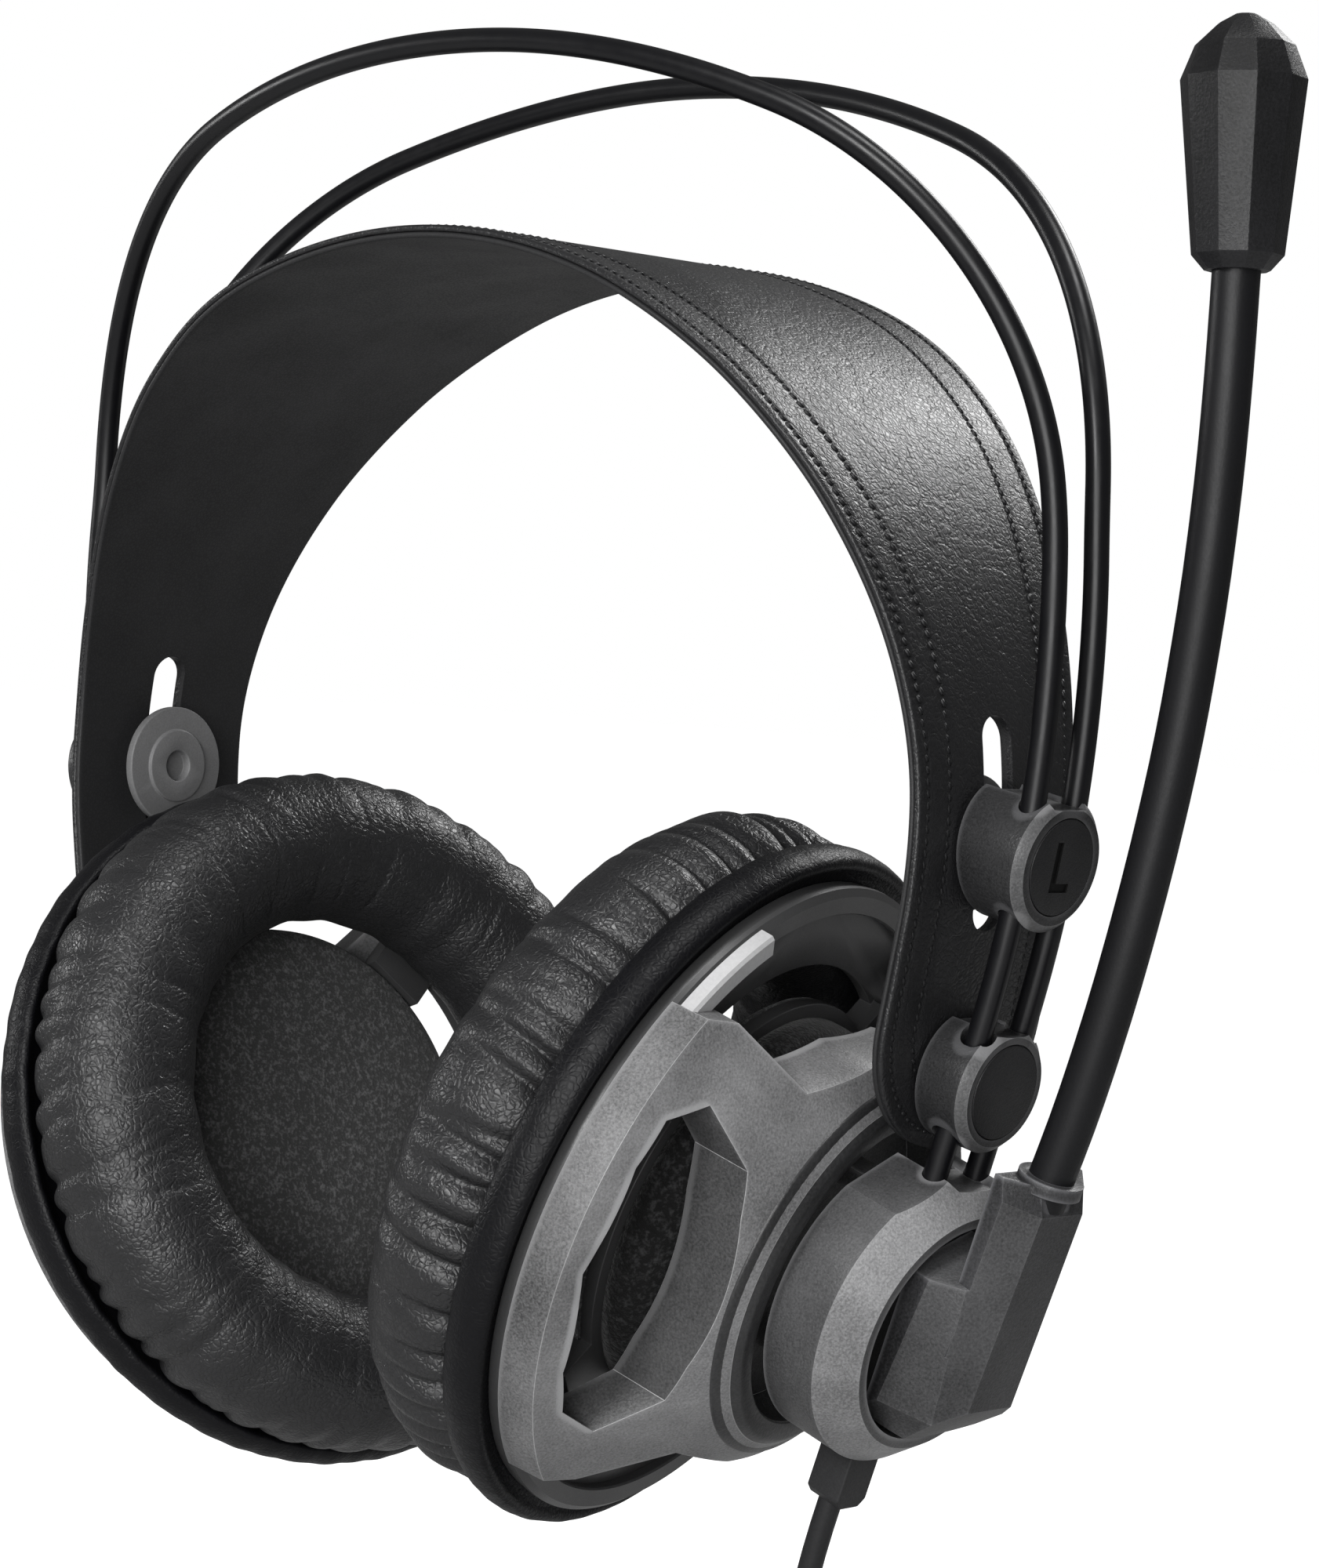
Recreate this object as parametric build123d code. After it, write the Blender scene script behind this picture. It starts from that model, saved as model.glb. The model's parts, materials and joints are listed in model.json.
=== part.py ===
from build123d import *

import os
from math import cos, degrees, pi, radians, sin, sqrt, tan

# Open-back gaming headset with twin wire hoops, a floating leather strap and a boom microphone.
# Units are millimetres.  +X is the wearer's left, -Y the wearer's front and +Z up.  The origin is the
# centre of the strap's underside at its crown, where the headset rests on a head.

# ---------------------------------------------------------------- driving dimensions
# Wire hoops: each side of the arch is a crown arc, a shoulder arc, a bowed leg and a straight end.
WIRE_DIAMETER = 3.1
HOOP_RISE = 25.9            # wire centre above the origin at the crown
HOOP_ARCS = [(146.0, 20.1), (54.5, 63.8), (169.0, 23.1)]  # radius and sweep of each arc
HOOP_CROWN_SPREAD = 22.5    # half the distance between the two wires at the crown
HOOP_LEG_SPREAD = 4.2       # half the distance between the two wires at the legs
HOOP_SPREAD_LENGTH = 120.0  # arc length over which the wires draw together
HOOP_RUN = 13.0             # length of one run of the bent wire
WIRE_FIT = 0.12             # radial room round a wire that is clamped
WIRE_SLIDE = 0.35           # radial room round a wire that is slid along

# Strap: leather outside, lining inside, narrowing to a tongue with a round end on each side.
LEATHER_THICKNESS = 0.9
LINING_THICKNESS = 0.8
STRAP_ARCS = [(87.2, 20.0), (69.2, 80.0)]  # radius and sweep of the underside's arcs
STRAP_CROWN_WIDTH = 57.0
STRAP_TONGUE_WIDTH = 31.0
STRAP_SHOULDER_Z = -6.0     # where the strap starts to narrow
STRAP_TONGUE_Z = -68.0      # where the strap has narrowed to the tongue
STRAP_END_Z = -109.6        # lowest point of the tongue
SLOT_WIDTH = 5.8
SLOT_ABOVE = 15.8           # from the axle to the slot's top
SLOT_BELOW = 10.6
STRAP_STANDOFF = 0.45       # from the strap to the blocks outside it
STRAP_UPPER_ROOM = 2.05     # from the strap to the washer inside it, which the strap's slope takes up
STRAP_LOWER_ROOM = 2.5      # from the strap to the rivet head inside it, taken up by the wires' slope
RIVET_ROOM = 0.8            # round the rivet in the strap

# Blocks that clamp the wires (upper) and slide on them with the strap (lower).
UPPER_FACE = (87.0, -74.0)  # x and z at the centre of the outer face
UPPER_BLOCK_TILT = 10.5     # the outer face looks down by this angle
UPPER_BLOCK_RADIUS = 8.4
LOWER_FACE = (80.6, STRAP_END_Z + 7.7)
LOWER_BLOCK_TILT = 12.1
LOWER_BLOCK_RADIUS = 8.1
LOWER_BLOCK_SWAY = 0.3      # extra room for the wires' bow as the block slides
BLOCK_CHAMFER = 1.1
BLOCK_SHOULDER = 7.0        # height of the notch that lets the wires in
CAP_RADIUS = 6.0
CAP_THICKNESS = 0.6
CAP_GAP = 0.15
AXLE_RADIUS = 2.3
WASHER_RADIUS = 8.5
WASHER_THICKNESS = 1.3
WASHER_STEP_RADIUS = 5.2
WASHER_STEP = 0.5
WASHER_HOLE_RADIUS = 2.2
RIVET_RADIUS = 1.8
RIVET_HEAD_RADIUS = 3.1
RIVET_HEAD_THICKNESS = 0.5

# Hubs and gimbals: each cup hangs on a ring at the pivot, inside its hub.
PIVOT_X = 61.7
PIVOT_Z = -128.2
HUB_TILT = 18.0             # the hub's axis points outwards and down by this angle
HUB_RADIUS = 19.6
HUB_BACK = 0.8              # heights along the hub's axis from the pivot
HUB_FRONT = 9.0
HUB_RIM = 13.2
HUB_RIM_RADIUS = 15.7
RECESS_RADIUS = 14.4
RECESS_FLOOR = 9.6
HUB_WALL = 1.6
HUB_FLOOR = 1.9
HUB_BOSS_BACK = 4.6         # inner end of the boss that holds the wires
SOCKET_END = 8.8            # height of the wires' ends above the hub's axis
SADDLE_EDGE = (12.6, 15.0)  # corners of half of the saddle on top of the hub, (rearwards, up)
SADDLE_CREST = (4.5, 18.9)
SADDLE_FLOOR = (3.3, 18.0)
NOTCH_WIDE_HALF = 4.5       # notch at the hub's top for the strap's end
NOTCH_NARROW_HALF = 3.0
NOTCH_BOTTOM = 15.6
SHAFT_RADIUS = 4.0
RUNNING_CLEARANCE = 0.06
NECK_FLANGE_RADIUS = 7.4
NECK_FLANGE_THICKNESS = 3.2
CLIP_RADIUS = 5.6
CLIP_THICKNESS = 0.9
CLIP_POCKET_RADIUS = 6.1
CLIP_POCKET_DEPTH = 1.4
NECK_RADIUS = 4.4
NECK_TIP = -3.0
TRUNNION_RADIUS = 1.3
TRUNNION_REACH = 9.8
GIMBAL_INNER_RADIUS = 6.4
GIMBAL_OUTER_RADIUS = 10.4
GIMBAL_HALF_HEIGHT = 1.8
LUG_RADIUS = 2.6
LUG_THICKNESS = 2.8
LUG_GAP = 0.3

# Ear cups.  Depths are measured inwards from the pivot along the cup's axis.
CUP_TILT = {"left": 20.6, "right": 19.3}
CUP_TURN = {"left": 10.0, "right": 8.6}
COLLAR_OUTER_RADIUS = 23.1
COLLAR_INNER_RADIUS = 20.6
COLLAR_FRONT = 2.8
COLLAR_FLOOR = 9.4
COLLAR_FLOOR_THICKNESS = 2.0
SHELL_TOP_RADIUS = 24.1
SHELL_TOP_DEPTH = 3.4
BEVEL_INNER_RADIUS = 40.4
BEVEL_INNER_DEPTH = 16.6
BEVEL_OUTER_RADIUS = 43.5
BEVEL_OUTER_DEPTH = 18.4
RIM_RADIUS = 44.1
RIM_DEPTH = 23.4
RIM_WALL = 2.4
ARM_DEPTH = 6.6             # depth of the spider's arms along the axis
WINDOW_INNER_RADIUS = 28.5
BAFFLE_RADIUS = 43.8
BAFFLE_RING_INNER = 33.0
BAFFLE_THICKNESS = 1.8
BAFFLE_SPOKE_WIDTH = 9.0
SPOKE_ANGLES = (42.0, 138.0, 222.0, 318.0)
DRIVER_PLATE_RADIUS = 28.4
DRIVER_APERTURE_RADIUS = 20.0
HOUSING_RADIUS = 26.6
HOUSING_TOP_DEPTH = 12.2
HOUSING_WALL = 1.6
DRIVER_RADIUS = 22.5
DRIVER_THICKNESS = 2.6
MAGNET_RADIUS = 11.0
MAGNET_THICKNESS = 4.0
FOAM_RADIUS = 28.2
FOAM_THICKNESS = 1.6
LIP_RADIUS = 45.5
LIP_THICKNESS = 2.2
PAD_RING_RADIUS = 36.8      # circle through the middle of the cushion
PAD_TUBE_RADIUS = 10.3
PAD_HEIGHT = 19.9
PAD_BASE_INNER = 32.4
PAD_BASE_OUTER = 45.4
SCREW_CIRCLE = 37.2
SCREW_RADIUS = 1.1
SCREW_HEAD_RADIUS = 2.2
SCREW_HEAD_THICKNESS = 1.2
SCREW_LENGTH = 6.5
SCREW_BOSS_RADIUS = 3.0

# Microphone arm.  Corners are (rearwards, up, outwards) from the pivot, in the hub's axes, for one
# side of a shape that is mirrored front to rear.
PLATE_THICKNESS = 1.1
ARM_RADIUS = 13.8
ARM_TOP = 23.8
ARM_UNDERSIDE = 16.8        # of the stretch that reaches over the hub's rim
ARM_HALF_WIDTH = 7.4
ARM_FRONT_SHIFT = 0.6       # rearward shift of the front and rear halves
ARM_REAR_SHIFT = 1.8
CREST_TOP = (3.5, 20.3, 22.6)
CREST_LOW = (3.7, -3.0, 21.8)
SHOULDER_TOP = (5.4, 20.3, 21.0)
SHOULDER_MIDDLE = (7.2, 6.0, 19.2)
SHOULDER_LOW = (7.0, -2.0, 18.8)
SHOULDER_FOOT = (6.9, -8.5, 19.0)
WALL_TOP = (7.4, 20.3, 19.3)
BROW_TOP = (4.4, 23.8, 20.6)
NOSE_LOW = (0.0, -13.4, 14.6)
NOSE_HIGH = (0.0, -6.0, 22.0)
NOSE_CORNER = (5.0, -13.4, 14.6)
BASE_TOP = (9.6, 8.7, 13.4)
BASE_MIDDLE = (9.8, 0.0, 13.4)
BASE_LOW = (10.5, -7.1, 13.4)
BASE_SHOULDER = (7.7, 9.1, 17.5)
BASE_INNER = (3.3, 11.1, 13.0)
ARM_COLLAR_RADIUS = 4.1
ARM_COLLAR_LENGTH = 0.7
BOOM_SOCKET = 3.0
BOOM_DIAMETER = 5.7
BOOM_HEIGHT = 20.1          # boom axis above the pivot at its root
# Boom axis as offsets (x, z) from the arm's top.
BOOM_POINTS = [
    (3.4, 9.0), (7.7, 23.0), (11.6, 38.5), (14.8, 54.5), (17.0, 71.5), (18.1, 86.0), (18.5, 99.0), (18.6, 112.0)
]
CAPSULE_SIDES = 10
CAPSULE_FACING = 190.0      # compass angle, from +X, of the facet with the grille
CAPSULE_LEAN = -1.9         # the capsule leans towards the head by this angle
# Radius and height of each ring of corners, from the end of the boom's bend.
CAPSULE_RINGS = [(3.7, 0.0), (5.2, 1.8), (7.1, 22.2), (5.6, 26.2), (3.2, 28.6), (1.2, 29.8)]
CAPSULE_BORE_DEPTH = 3.0
GRILLE_WIDTH = 2.4
GRILLE_LENGTH = 13.0
GRILLE_THICKNESS = 0.6

# Cable: it leaves a block under the left hub and hangs to a tied hank with its plug below.
CABLE_DIAMETER = 3.1
RELIEF_WIDTH = 5.6
RELIEF_NEAR = 2.2           # heights along the hub's axis
RELIEF_FAR = 7.6
RELIEF_END = -27.3          # lower end, below the hub's axis
RELIEF_CHAMFER = 1.1
CABLE_HEIGHT = 4.5          # cable axis along the hub's axis
LEAD_POINTS = [
    (54.9, 0.0, -163.6), (52.5, 0.5, -174.5), (51.0, 0.8, -186.0), (50.2, 0.4, -197.5), (50.0, 0.0, -209.0)
]
HANK_CENTRE = (33.0, 0.0, -218.0)
HANK_RADIUS = 17.0          # middle of the bundle
HANK_BUNDLE_RADIUS = 6.5
TAIL_POINTS = [(50.0, 0.0, -227.0), (50.2, 0.3, -239.0), (50.9, 0.3, -251.0)]
TIE_WIDTH = 9.0
TIE_THICKNESS = 0.8
PLUG_BODY_RADIUS = 3.6
PLUG_BODY_LENGTH = 20.0
PLUG_NECK_LENGTH = 7.0
PLUG_PIN_DIAMETER = 3.5
PLUG_NECK_WALL = 0.4
PLUG_CHAMFER = 0.5
PLUG_PIN_LENGTH = 14.0
PLUG_TIP_LENGTH = 3.2       # of the waisted tip
PLUG_TIP_WAIST = 0.45       # depth of the waist

SIDES = {"left": 1, "right": -1}
FACES = {"front": -1, "rear": 1}
WIRE_RADIUS = WIRE_DIAMETER / 2
CABLE_RADIUS = CABLE_DIAMETER / 2
STRAP_THICKNESS = LINING_THICKNESS + LEATHER_THICKNESS
PIN_BORE_RADIUS = TRUNNION_RADIUS + RUNNING_CLEARANCE
FLOOR_BACK = RECESS_FLOOR - HUB_FLOOR
nodes = {}


# ---------------------------------------------------------------- helpers
def save(name, shape):
    """Keep one node."""
    nodes[name] = shape


def drum(radius, low, high):
    """Cylinder on local Z between two heights."""
    return Pos(0, 0, low) * Cylinder(radius, high - low, align=(Align.CENTER, Align.CENTER, Align.MIN))


def ring(outer, inner, low, high):
    """Flat ring on local Z between two heights."""
    return drum(outer, low, high) - drum(inner, low, high)


def bar(low, high):
    """Box between two corners."""
    size = [b - a for a, b in zip(low, high)]
    middle = [(a + b) / 2 for a, b in zip(low, high)]
    return Pos(*middle) * Box(*size)


def turned(*profile):
    """Solid of revolution about local Z from (radius, height) corners."""
    outline = Polyline(*[(radius, 0, height) for radius, height in profile], close=True)
    return revolve(make_face(outline), Axis.Z)


def prism(points, low, high):
    """Polygon in the local XY plane between two heights."""
    return Pos(0, 0, low) * extrude(make_face(Polyline(*points, close=True)), high - low)


def polar(radius, angle):
    """Point in the local XY plane."""
    return radius * cos(radians(angle)), radius * sin(radians(angle))


def arch_point(rise, arcs, length):
    """Point (x, z) and heading at an arc length along a chain of arcs that starts at the crown."""
    x, z, heading = 0.0, rise, 0.0
    for radius, sweep in arcs:
        part = min(radians(sweep), length / radius)
        centre_x = x - radius * sin(heading)
        centre_z = z - radius * cos(heading)
        heading += part
        x = centre_x + radius * sin(heading)
        z = centre_z + radius * cos(heading)
        length -= part * radius
    return x + length * cos(heading), z - length * sin(heading), heading


def length_at(rise, arcs, height):
    """Arc length from the crown at which an arch has come down to a height."""
    low, high = 0.0, 400.0
    for _ in range(50):
        middle = (low + high) / 2
        if arch_point(rise, arcs, middle)[1] > height:
            low = middle
        else:
            high = middle
    return low


def tangent_tube(points, radius, label=""):
    """Round tube whose straight runs are joined by arcs as large as the runs allow."""
    radii = []
    for before, corner, after in zip(points, points[1:], points[2:]):
        first = Vector(*corner) - Vector(*before)
        second = Vector(*after) - Vector(*corner)
        turn = radians(first.get_angle(second))
        radii.append(0.45 * min(first.length, second.length) / tan(turn / 2))
    if label:
        print(label, "bend radii", [round(value, 1) for value in radii])
    path = FilletPolyline(*points, radius=radii)
    tube = sweep(Plane(origin=path @ 0, z_dir=path % 0) * Circle(radius), path=path)
    if label:
        print(label, "volume", round(tube.volume, 1), "of", round(pi * radius**2 * path.length, 1))
    return tube


# ---------------------------------------------------------------- planes
def outward_plane(origin, outward):
    """Plane whose local Z looks outwards, whose local Y points up and whose local X is level."""
    return Plane(origin=origin, x_dir=Vector(0, 0, 1).cross(outward), z_dir=outward)


def outward(side, tilt, turn=0.0):
    """Direction away from the head, looking down by tilt and rearwards by turn."""
    level = cos(radians(turn))
    return Vector(SIDES[side] * cos(radians(tilt)) * level, sin(radians(turn)), -sin(radians(tilt)) * level)


def block_plane(level, side):
    """Plane of a wire block's outer face."""
    x, z = UPPER_FACE if level == "upper" else LOWER_FACE
    tilt = UPPER_BLOCK_TILT if level == "upper" else LOWER_BLOCK_TILT
    return outward_plane((SIDES[side] * x, 0, z), outward(side, tilt))


def strap_plane(level, side):
    """Plane on the strap's outer face, where the axis of a wire block meets it."""
    face = block_plane(level, side)
    arcs = strap_arcs(STRAP_THICKNESS)
    depth = 0.0
    for _ in range(20):
        point = face.origin - face.z_dir * depth
        x, _, heading = arch_point(STRAP_THICKNESS, arcs, length_at(STRAP_THICKNESS, arcs, point.Z))
        depth += abs(point.X) - x
    return outward_plane(point, outward(side, degrees(heading) - 90))


def hub_plane(side):
    """Plane of a hub, at the pivot."""
    return outward_plane((SIDES[side] * PIVOT_X, 0, PIVOT_Z), outward(side, HUB_TILT))


def gimbal_plane(side):
    """Plane of a gimbal ring at rest."""
    return outward_plane((SIDES[side] * PIVOT_X, 0, PIVOT_Z), outward(side, CUP_TILT[side]))


def cup_plane(side):
    """Plane of an ear cup at rest: turned about the gimbal ring's upright axis."""
    ring_plane = gimbal_plane(side)
    facing = outward(side, CUP_TILT[side], CUP_TURN[side])
    return Plane(origin=ring_plane.origin, x_dir=ring_plane.y_dir.cross(facing), z_dir=facing)


# ---------------------------------------------------------------- wire hoops
def hoop_spread(length):
    """Half the distance between the wires at an arc length from the crown."""
    share = min(1.0, length / HOOP_SPREAD_LENGTH) ** 1.35
    return HOOP_LEG_SPREAD + (HOOP_CROWN_SPREAD - HOOP_LEG_SPREAD) * (1 + cos(pi * share)) / 2


def hoop(face, radius):
    """Bent wire from one hub's sockets to the other's."""
    plane = hub_plane("left")
    end_height = PIVOT_Z + plane.y_dir.Z * SOCKET_END + plane.z_dir.Z * (HUB_BOSS_BACK + HUB_WALL)
    end_length = length_at(HOOP_RISE, HOOP_ARCS, end_height)
    bent_length = sum(arc_radius * radians(sweep_angle) for arc_radius, sweep_angle in HOOP_ARCS)
    runs = round(bent_length / HOOP_RUN)
    lengths = [bent_length * step / runs for step in range(1, runs + 1)] + [end_length]
    half = []
    for length in lengths:
        x, z, _ = arch_point(HOOP_RISE, HOOP_ARCS, length)
        half.append((x, FACES[face] * hoop_spread(length), z))
    crown = (0, FACES[face] * HOOP_CROWN_SPREAD, HOOP_RISE)
    return tangent_tube([(-x, y, z) for x, y, z in reversed(half)] + [crown] + half, radius)


# ---------------------------------------------------------------- strap
def strap_arcs(offset):
    """Arcs of the strap's profile at an offset above its underside."""
    return [(radius + offset, sweep) for radius, sweep in STRAP_ARCS]


def strap_profile(inner, outer):
    """Right half of the strap's profile between two offsets above its underside."""
    tail = 60.0
    rows = []
    for offset in (inner, outer):
        arcs = strap_arcs(offset)
        crown_end = arcs[0][0] * radians(arcs[0][1])
        side_end = crown_end + arcs[1][0] * radians(arcs[1][1])
        marks = (0, crown_end / 2, crown_end, (crown_end + side_end) / 2, side_end, side_end + tail)
        rows.append([arch_point(offset, arcs, mark)[:2] for mark in marks])
    low, high = rows
    return make_face([
        Line(low[0], high[0]),
        ThreePointArc(high[0], high[1], high[2]),
        ThreePointArc(high[2], high[3], high[4]),
        Line(high[4], high[5]),
        Line(high[5], low[5]),
        Line(low[5], low[4]),
        ThreePointArc(low[4], low[3], low[2]),
        ThreePointArc(low[2], low[1], low[0]),
    ])


def strap_outline():
    """Strap seen from the side: full width at the crown, tongues with round ends below."""
    wide = STRAP_CROWN_WIDTH / 2
    narrow = STRAP_TONGUE_WIDTH / 2
    end_centre = STRAP_END_Z + narrow
    top = HOOP_RISE
    drop = STRAP_SHOULDER_Z - STRAP_TONGUE_Z
    waist = [
        (wide, STRAP_SHOULDER_Z),
        (wide - 0.21 * (wide - narrow), STRAP_SHOULDER_Z - 0.19 * drop),
        (wide - 0.55 * (wide - narrow), STRAP_SHOULDER_Z - 0.43 * drop),
        (wide - 0.87 * (wide - narrow), STRAP_SHOULDER_Z - 0.72 * drop),
        (narrow, STRAP_TONGUE_Z),
    ]
    return make_face([
        Line((-wide, top), (wide, top)),
        Line((wide, top), (wide, STRAP_SHOULDER_Z)),
        Spline(*waist, tangents=((0, -1), (0, -1))),
        Line((narrow, STRAP_TONGUE_Z), (narrow, end_centre)),
        ThreePointArc((narrow, end_centre), (0, STRAP_END_Z), (-narrow, end_centre)),
        Line((-narrow, end_centre), (-narrow, STRAP_TONGUE_Z)),
        Spline(*[(-y, z) for y, z in waist], tangents=((0, -1), (0, -1))),
        Line((-wide, STRAP_SHOULDER_Z), (-wide, top)),
    ])


def strap_layer(inner, outer):
    """One layer of the strap, with its slots and its rivet holes."""
    half = extrude(Plane.XZ * strap_profile(inner, outer), STRAP_CROWN_WIDTH, both=True)
    band = half + mirror(half, Plane.YZ)
    band = band & extrude(Plane.YZ * strap_outline(), 2 * PIVOT_X, both=True)
    slot = Rot(0, 0, 90) * SlotOverall(SLOT_ABOVE + SLOT_BELOW, SLOT_WIDTH)
    slot = Pos(0, (SLOT_ABOVE - SLOT_BELOW) / 2) * slot
    for side in SIDES:
        band -= strap_plane("upper", side).location * extrude(slot, 4 * STRAP_THICKNESS, both=True)
        hole = drum(RIVET_RADIUS + RIVET_ROOM, -4 * STRAP_THICKNESS, 4 * STRAP_THICKNESS)
        band -= strap_plane("lower", side).location * hole
    return band


def make_strap():
    """Lining below, leather above."""
    save("strap_lining", strap_layer(0, LINING_THICKNESS))
    save("strap_leather", strap_layer(LINING_THICKNESS, STRAP_THICKNESS))


# ---------------------------------------------------------------- wire blocks
def block_body(level, side, radius):
    """Round block from its outer face to the strap, with a seat for its cap and a notched top."""
    face = block_plane(level, side)
    reach = 2 * radius
    body = turned(
        (0, -reach), (radius, -reach), (radius, -BLOCK_CHAMFER), (radius - BLOCK_CHAMFER, 0), (0, 0)
    )
    body -= drum(CAP_RADIUS + CAP_GAP, -CAP_THICKNESS, BLOCK_CHAMFER)
    half = 0.55 * radius
    foot = 0.7 * half
    notch = [(-half, radius + 1), (-foot, BLOCK_SHOULDER), (foot, BLOCK_SHOULDER), (half, radius + 1)]
    body -= prism(notch, -reach, BLOCK_CHAMFER)
    strap_side = bar((-reach, -reach, -2 * reach), (reach, reach, STRAP_STANDOFF))
    return face.location * body - strap_plane(level, side).location * strap_side


def make_upper_block(side):
    """Block that clamps both wires, its cap, and the axle and washer that carry the strap's slot."""
    body = block_body("upper", side, UPPER_BLOCK_RADIUS)
    for face in FACES:
        body -= hoop(face, WIRE_RADIUS + WIRE_FIT)
    save(f"upper_block_{side}", body)
    save(f"upper_cap_{side}", block_plane("upper", side).location * drum(CAP_RADIUS, -CAP_THICKNESS, 0.1))
    seat = strap_plane("upper", side).location
    washer_face = -STRAP_THICKNESS - STRAP_UPPER_ROOM
    washer_back = washer_face - WASHER_THICKNESS
    save(f"strap_axle_{side}", seat * drum(AXLE_RADIUS, washer_face, STRAP_STANDOFF))
    washer = drum(WASHER_RADIUS, washer_back, washer_face)
    washer += drum(WASHER_STEP_RADIUS, washer_back - WASHER_STEP, washer_back)
    washer -= drum(WASHER_HOLE_RADIUS, washer_back - WASHER_STEP, washer_face - WASHER_THICKNESS / 3)
    save(f"strap_washer_{side}", seat * washer)


def slide_direction(side):
    """Direction in which a lower block slides up the wires."""
    heading = radians(sum(sweep_angle for _, sweep_angle in HOOP_ARCS))
    return Vector(-SIDES[side] * cos(heading), 0, sin(heading))


def make_lower_block(side):
    """Block that slides on the wires with the strap, its cap, and the rivet through the strap."""
    body = block_body("lower", side, LOWER_BLOCK_RADIUS)
    along = slide_direction(side)
    sway = Vector(along.Z * SIDES[side], 0, -along.X * SIDES[side]) * LOWER_BLOCK_SWAY
    for face in FACES:
        wire = hoop(face, WIRE_RADIUS + WIRE_SLIDE)
        body -= wire
        body -= Pos(sway) * wire
        body -= Pos(-sway) * wire
    save(f"lower_block_{side}", body)
    save(f"lower_cap_{side}", block_plane("lower", side).location * drum(CAP_RADIUS, -CAP_THICKNESS, 0.1))
    seat = strap_plane("lower", side).location
    head_face = -STRAP_THICKNESS - STRAP_LOWER_ROOM
    rivet = drum(RIVET_RADIUS, head_face, STRAP_STANDOFF)
    rivet += drum(RIVET_HEAD_RADIUS, head_face - RIVET_HEAD_THICKNESS, head_face)
    save(f"strap_rivet_{side}", seat * rivet)


# ---------------------------------------------------------------- hubs and gimbals
def saddle_cutter():
    """Tool above a hub that leaves two crests with a shallow valley, and the notch for the strap's end."""
    half = [SADDLE_EDGE, SADDLE_CREST, SADDLE_FLOOR]
    above = [(SADDLE_EDGE[0], 2 * HUB_RADIUS), (-SADDLE_EDGE[0], 2 * HUB_RADIUS)]
    saddle = prism(above + [(-x, y) for x, y in half] + half[::-1], -HUB_RIM, 2 * HUB_RIM)
    notch = [(-NOTCH_WIDE_HALF, HUB_BACK), (-NOTCH_NARROW_HALF, HUB_BOSS_BACK),
             (NOTCH_NARROW_HALF, HUB_BOSS_BACK), (NOTCH_WIDE_HALF, HUB_BACK)]
    outline = Pos(0, HUB_RADIUS, 0) * Rot(90, 0, 0) * make_face(Polyline(*notch, close=True))
    return saddle + extrude(outline, HUB_RADIUS - NOTCH_BOTTOM, dir=(0, -1, 0))


def make_hub(side):
    """Hub shell with the wires' sockets, the neck that carries the gimbal, and the gimbal ring."""
    inner = HUB_RADIUS - HUB_WALL
    shell = turned(
        (0, RECESS_FLOOR), (RECESS_RADIUS, RECESS_FLOOR), (RECESS_RADIUS, HUB_RIM), (HUB_RIM_RADIUS, HUB_RIM),
        (HUB_RADIUS, HUB_FRONT), (HUB_RADIUS, HUB_BACK), (inner, HUB_BACK), (inner, FLOOR_BACK), (0, FLOOR_BACK),
    )
    half = HOOP_LEG_SPREAD + WIRE_RADIUS + HUB_WALL
    shell += bar((-half, SOCKET_END - 1, HUB_BOSS_BACK), (half, inner, FLOOR_BACK + HUB_FLOOR / 2))
    shell -= saddle_cutter()
    shell -= drum(SHAFT_RADIUS + RUNNING_CLEARANCE, 0, HUB_RIM)
    shell = hub_plane(side).location * shell
    for face in FACES:
        shell -= hoop(face, WIRE_RADIUS + WIRE_FIT)
    save(f"hub_{side}", shell)

    flange_back = FLOOR_BACK - NECK_FLANGE_THICKNESS
    neck = drum(NECK_FLANGE_RADIUS, flange_back, FLOOR_BACK) + drum(NECK_RADIUS, NECK_TIP, FLOOR_BACK)
    neck -= drum(CLIP_POCKET_RADIUS, FLOOR_BACK - CLIP_POCKET_DEPTH, FLOOR_BACK)
    trunnion = Rot(0, 90, 0) * drum(TRUNNION_RADIUS, -TRUNNION_REACH, TRUNNION_REACH)
    save(f"gimbal_neck_{side}", hub_plane(side).location * (neck + trunnion))

    body = ring(GIMBAL_OUTER_RADIUS, GIMBAL_INNER_RADIUS, -GIMBAL_HALF_HEIGHT, GIMBAL_HALF_HEIGHT)
    body -= Rot(0, 90, 0) * drum(PIN_BORE_RADIUS, -HUB_RADIUS, HUB_RADIUS)
    lug_far = GIMBAL_OUTER_RADIUS + LUG_GAP + LUG_THICKNESS
    pins = Rot(90, 0, 0) * drum(TRUNNION_RADIUS, -lug_far, lug_far)
    pins -= drum(GIMBAL_OUTER_RADIUS - 2, -HUB_RADIUS, HUB_RADIUS)
    save(f"gimbal_ring_{side}", gimbal_plane(side).location * (body + pins))


def make_hub_cap():
    """Cap in the recess of the hub that has no microphone."""
    cap = turned((0, RECESS_FLOOR), (RECESS_RADIUS - CAP_GAP, RECESS_FLOOR),
                 (RECESS_RADIUS - CAP_GAP, RECESS_FLOOR + 2.2), (RECESS_RADIUS - 2, RECESS_FLOOR + 2.8),
                 (0, RECESS_FLOOR + 2.8))
    cap += drum(SHAFT_RADIUS, FLOOR_BACK, RECESS_FLOOR)
    save("hub_cap_right", hub_plane("right").location * cap)


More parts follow.
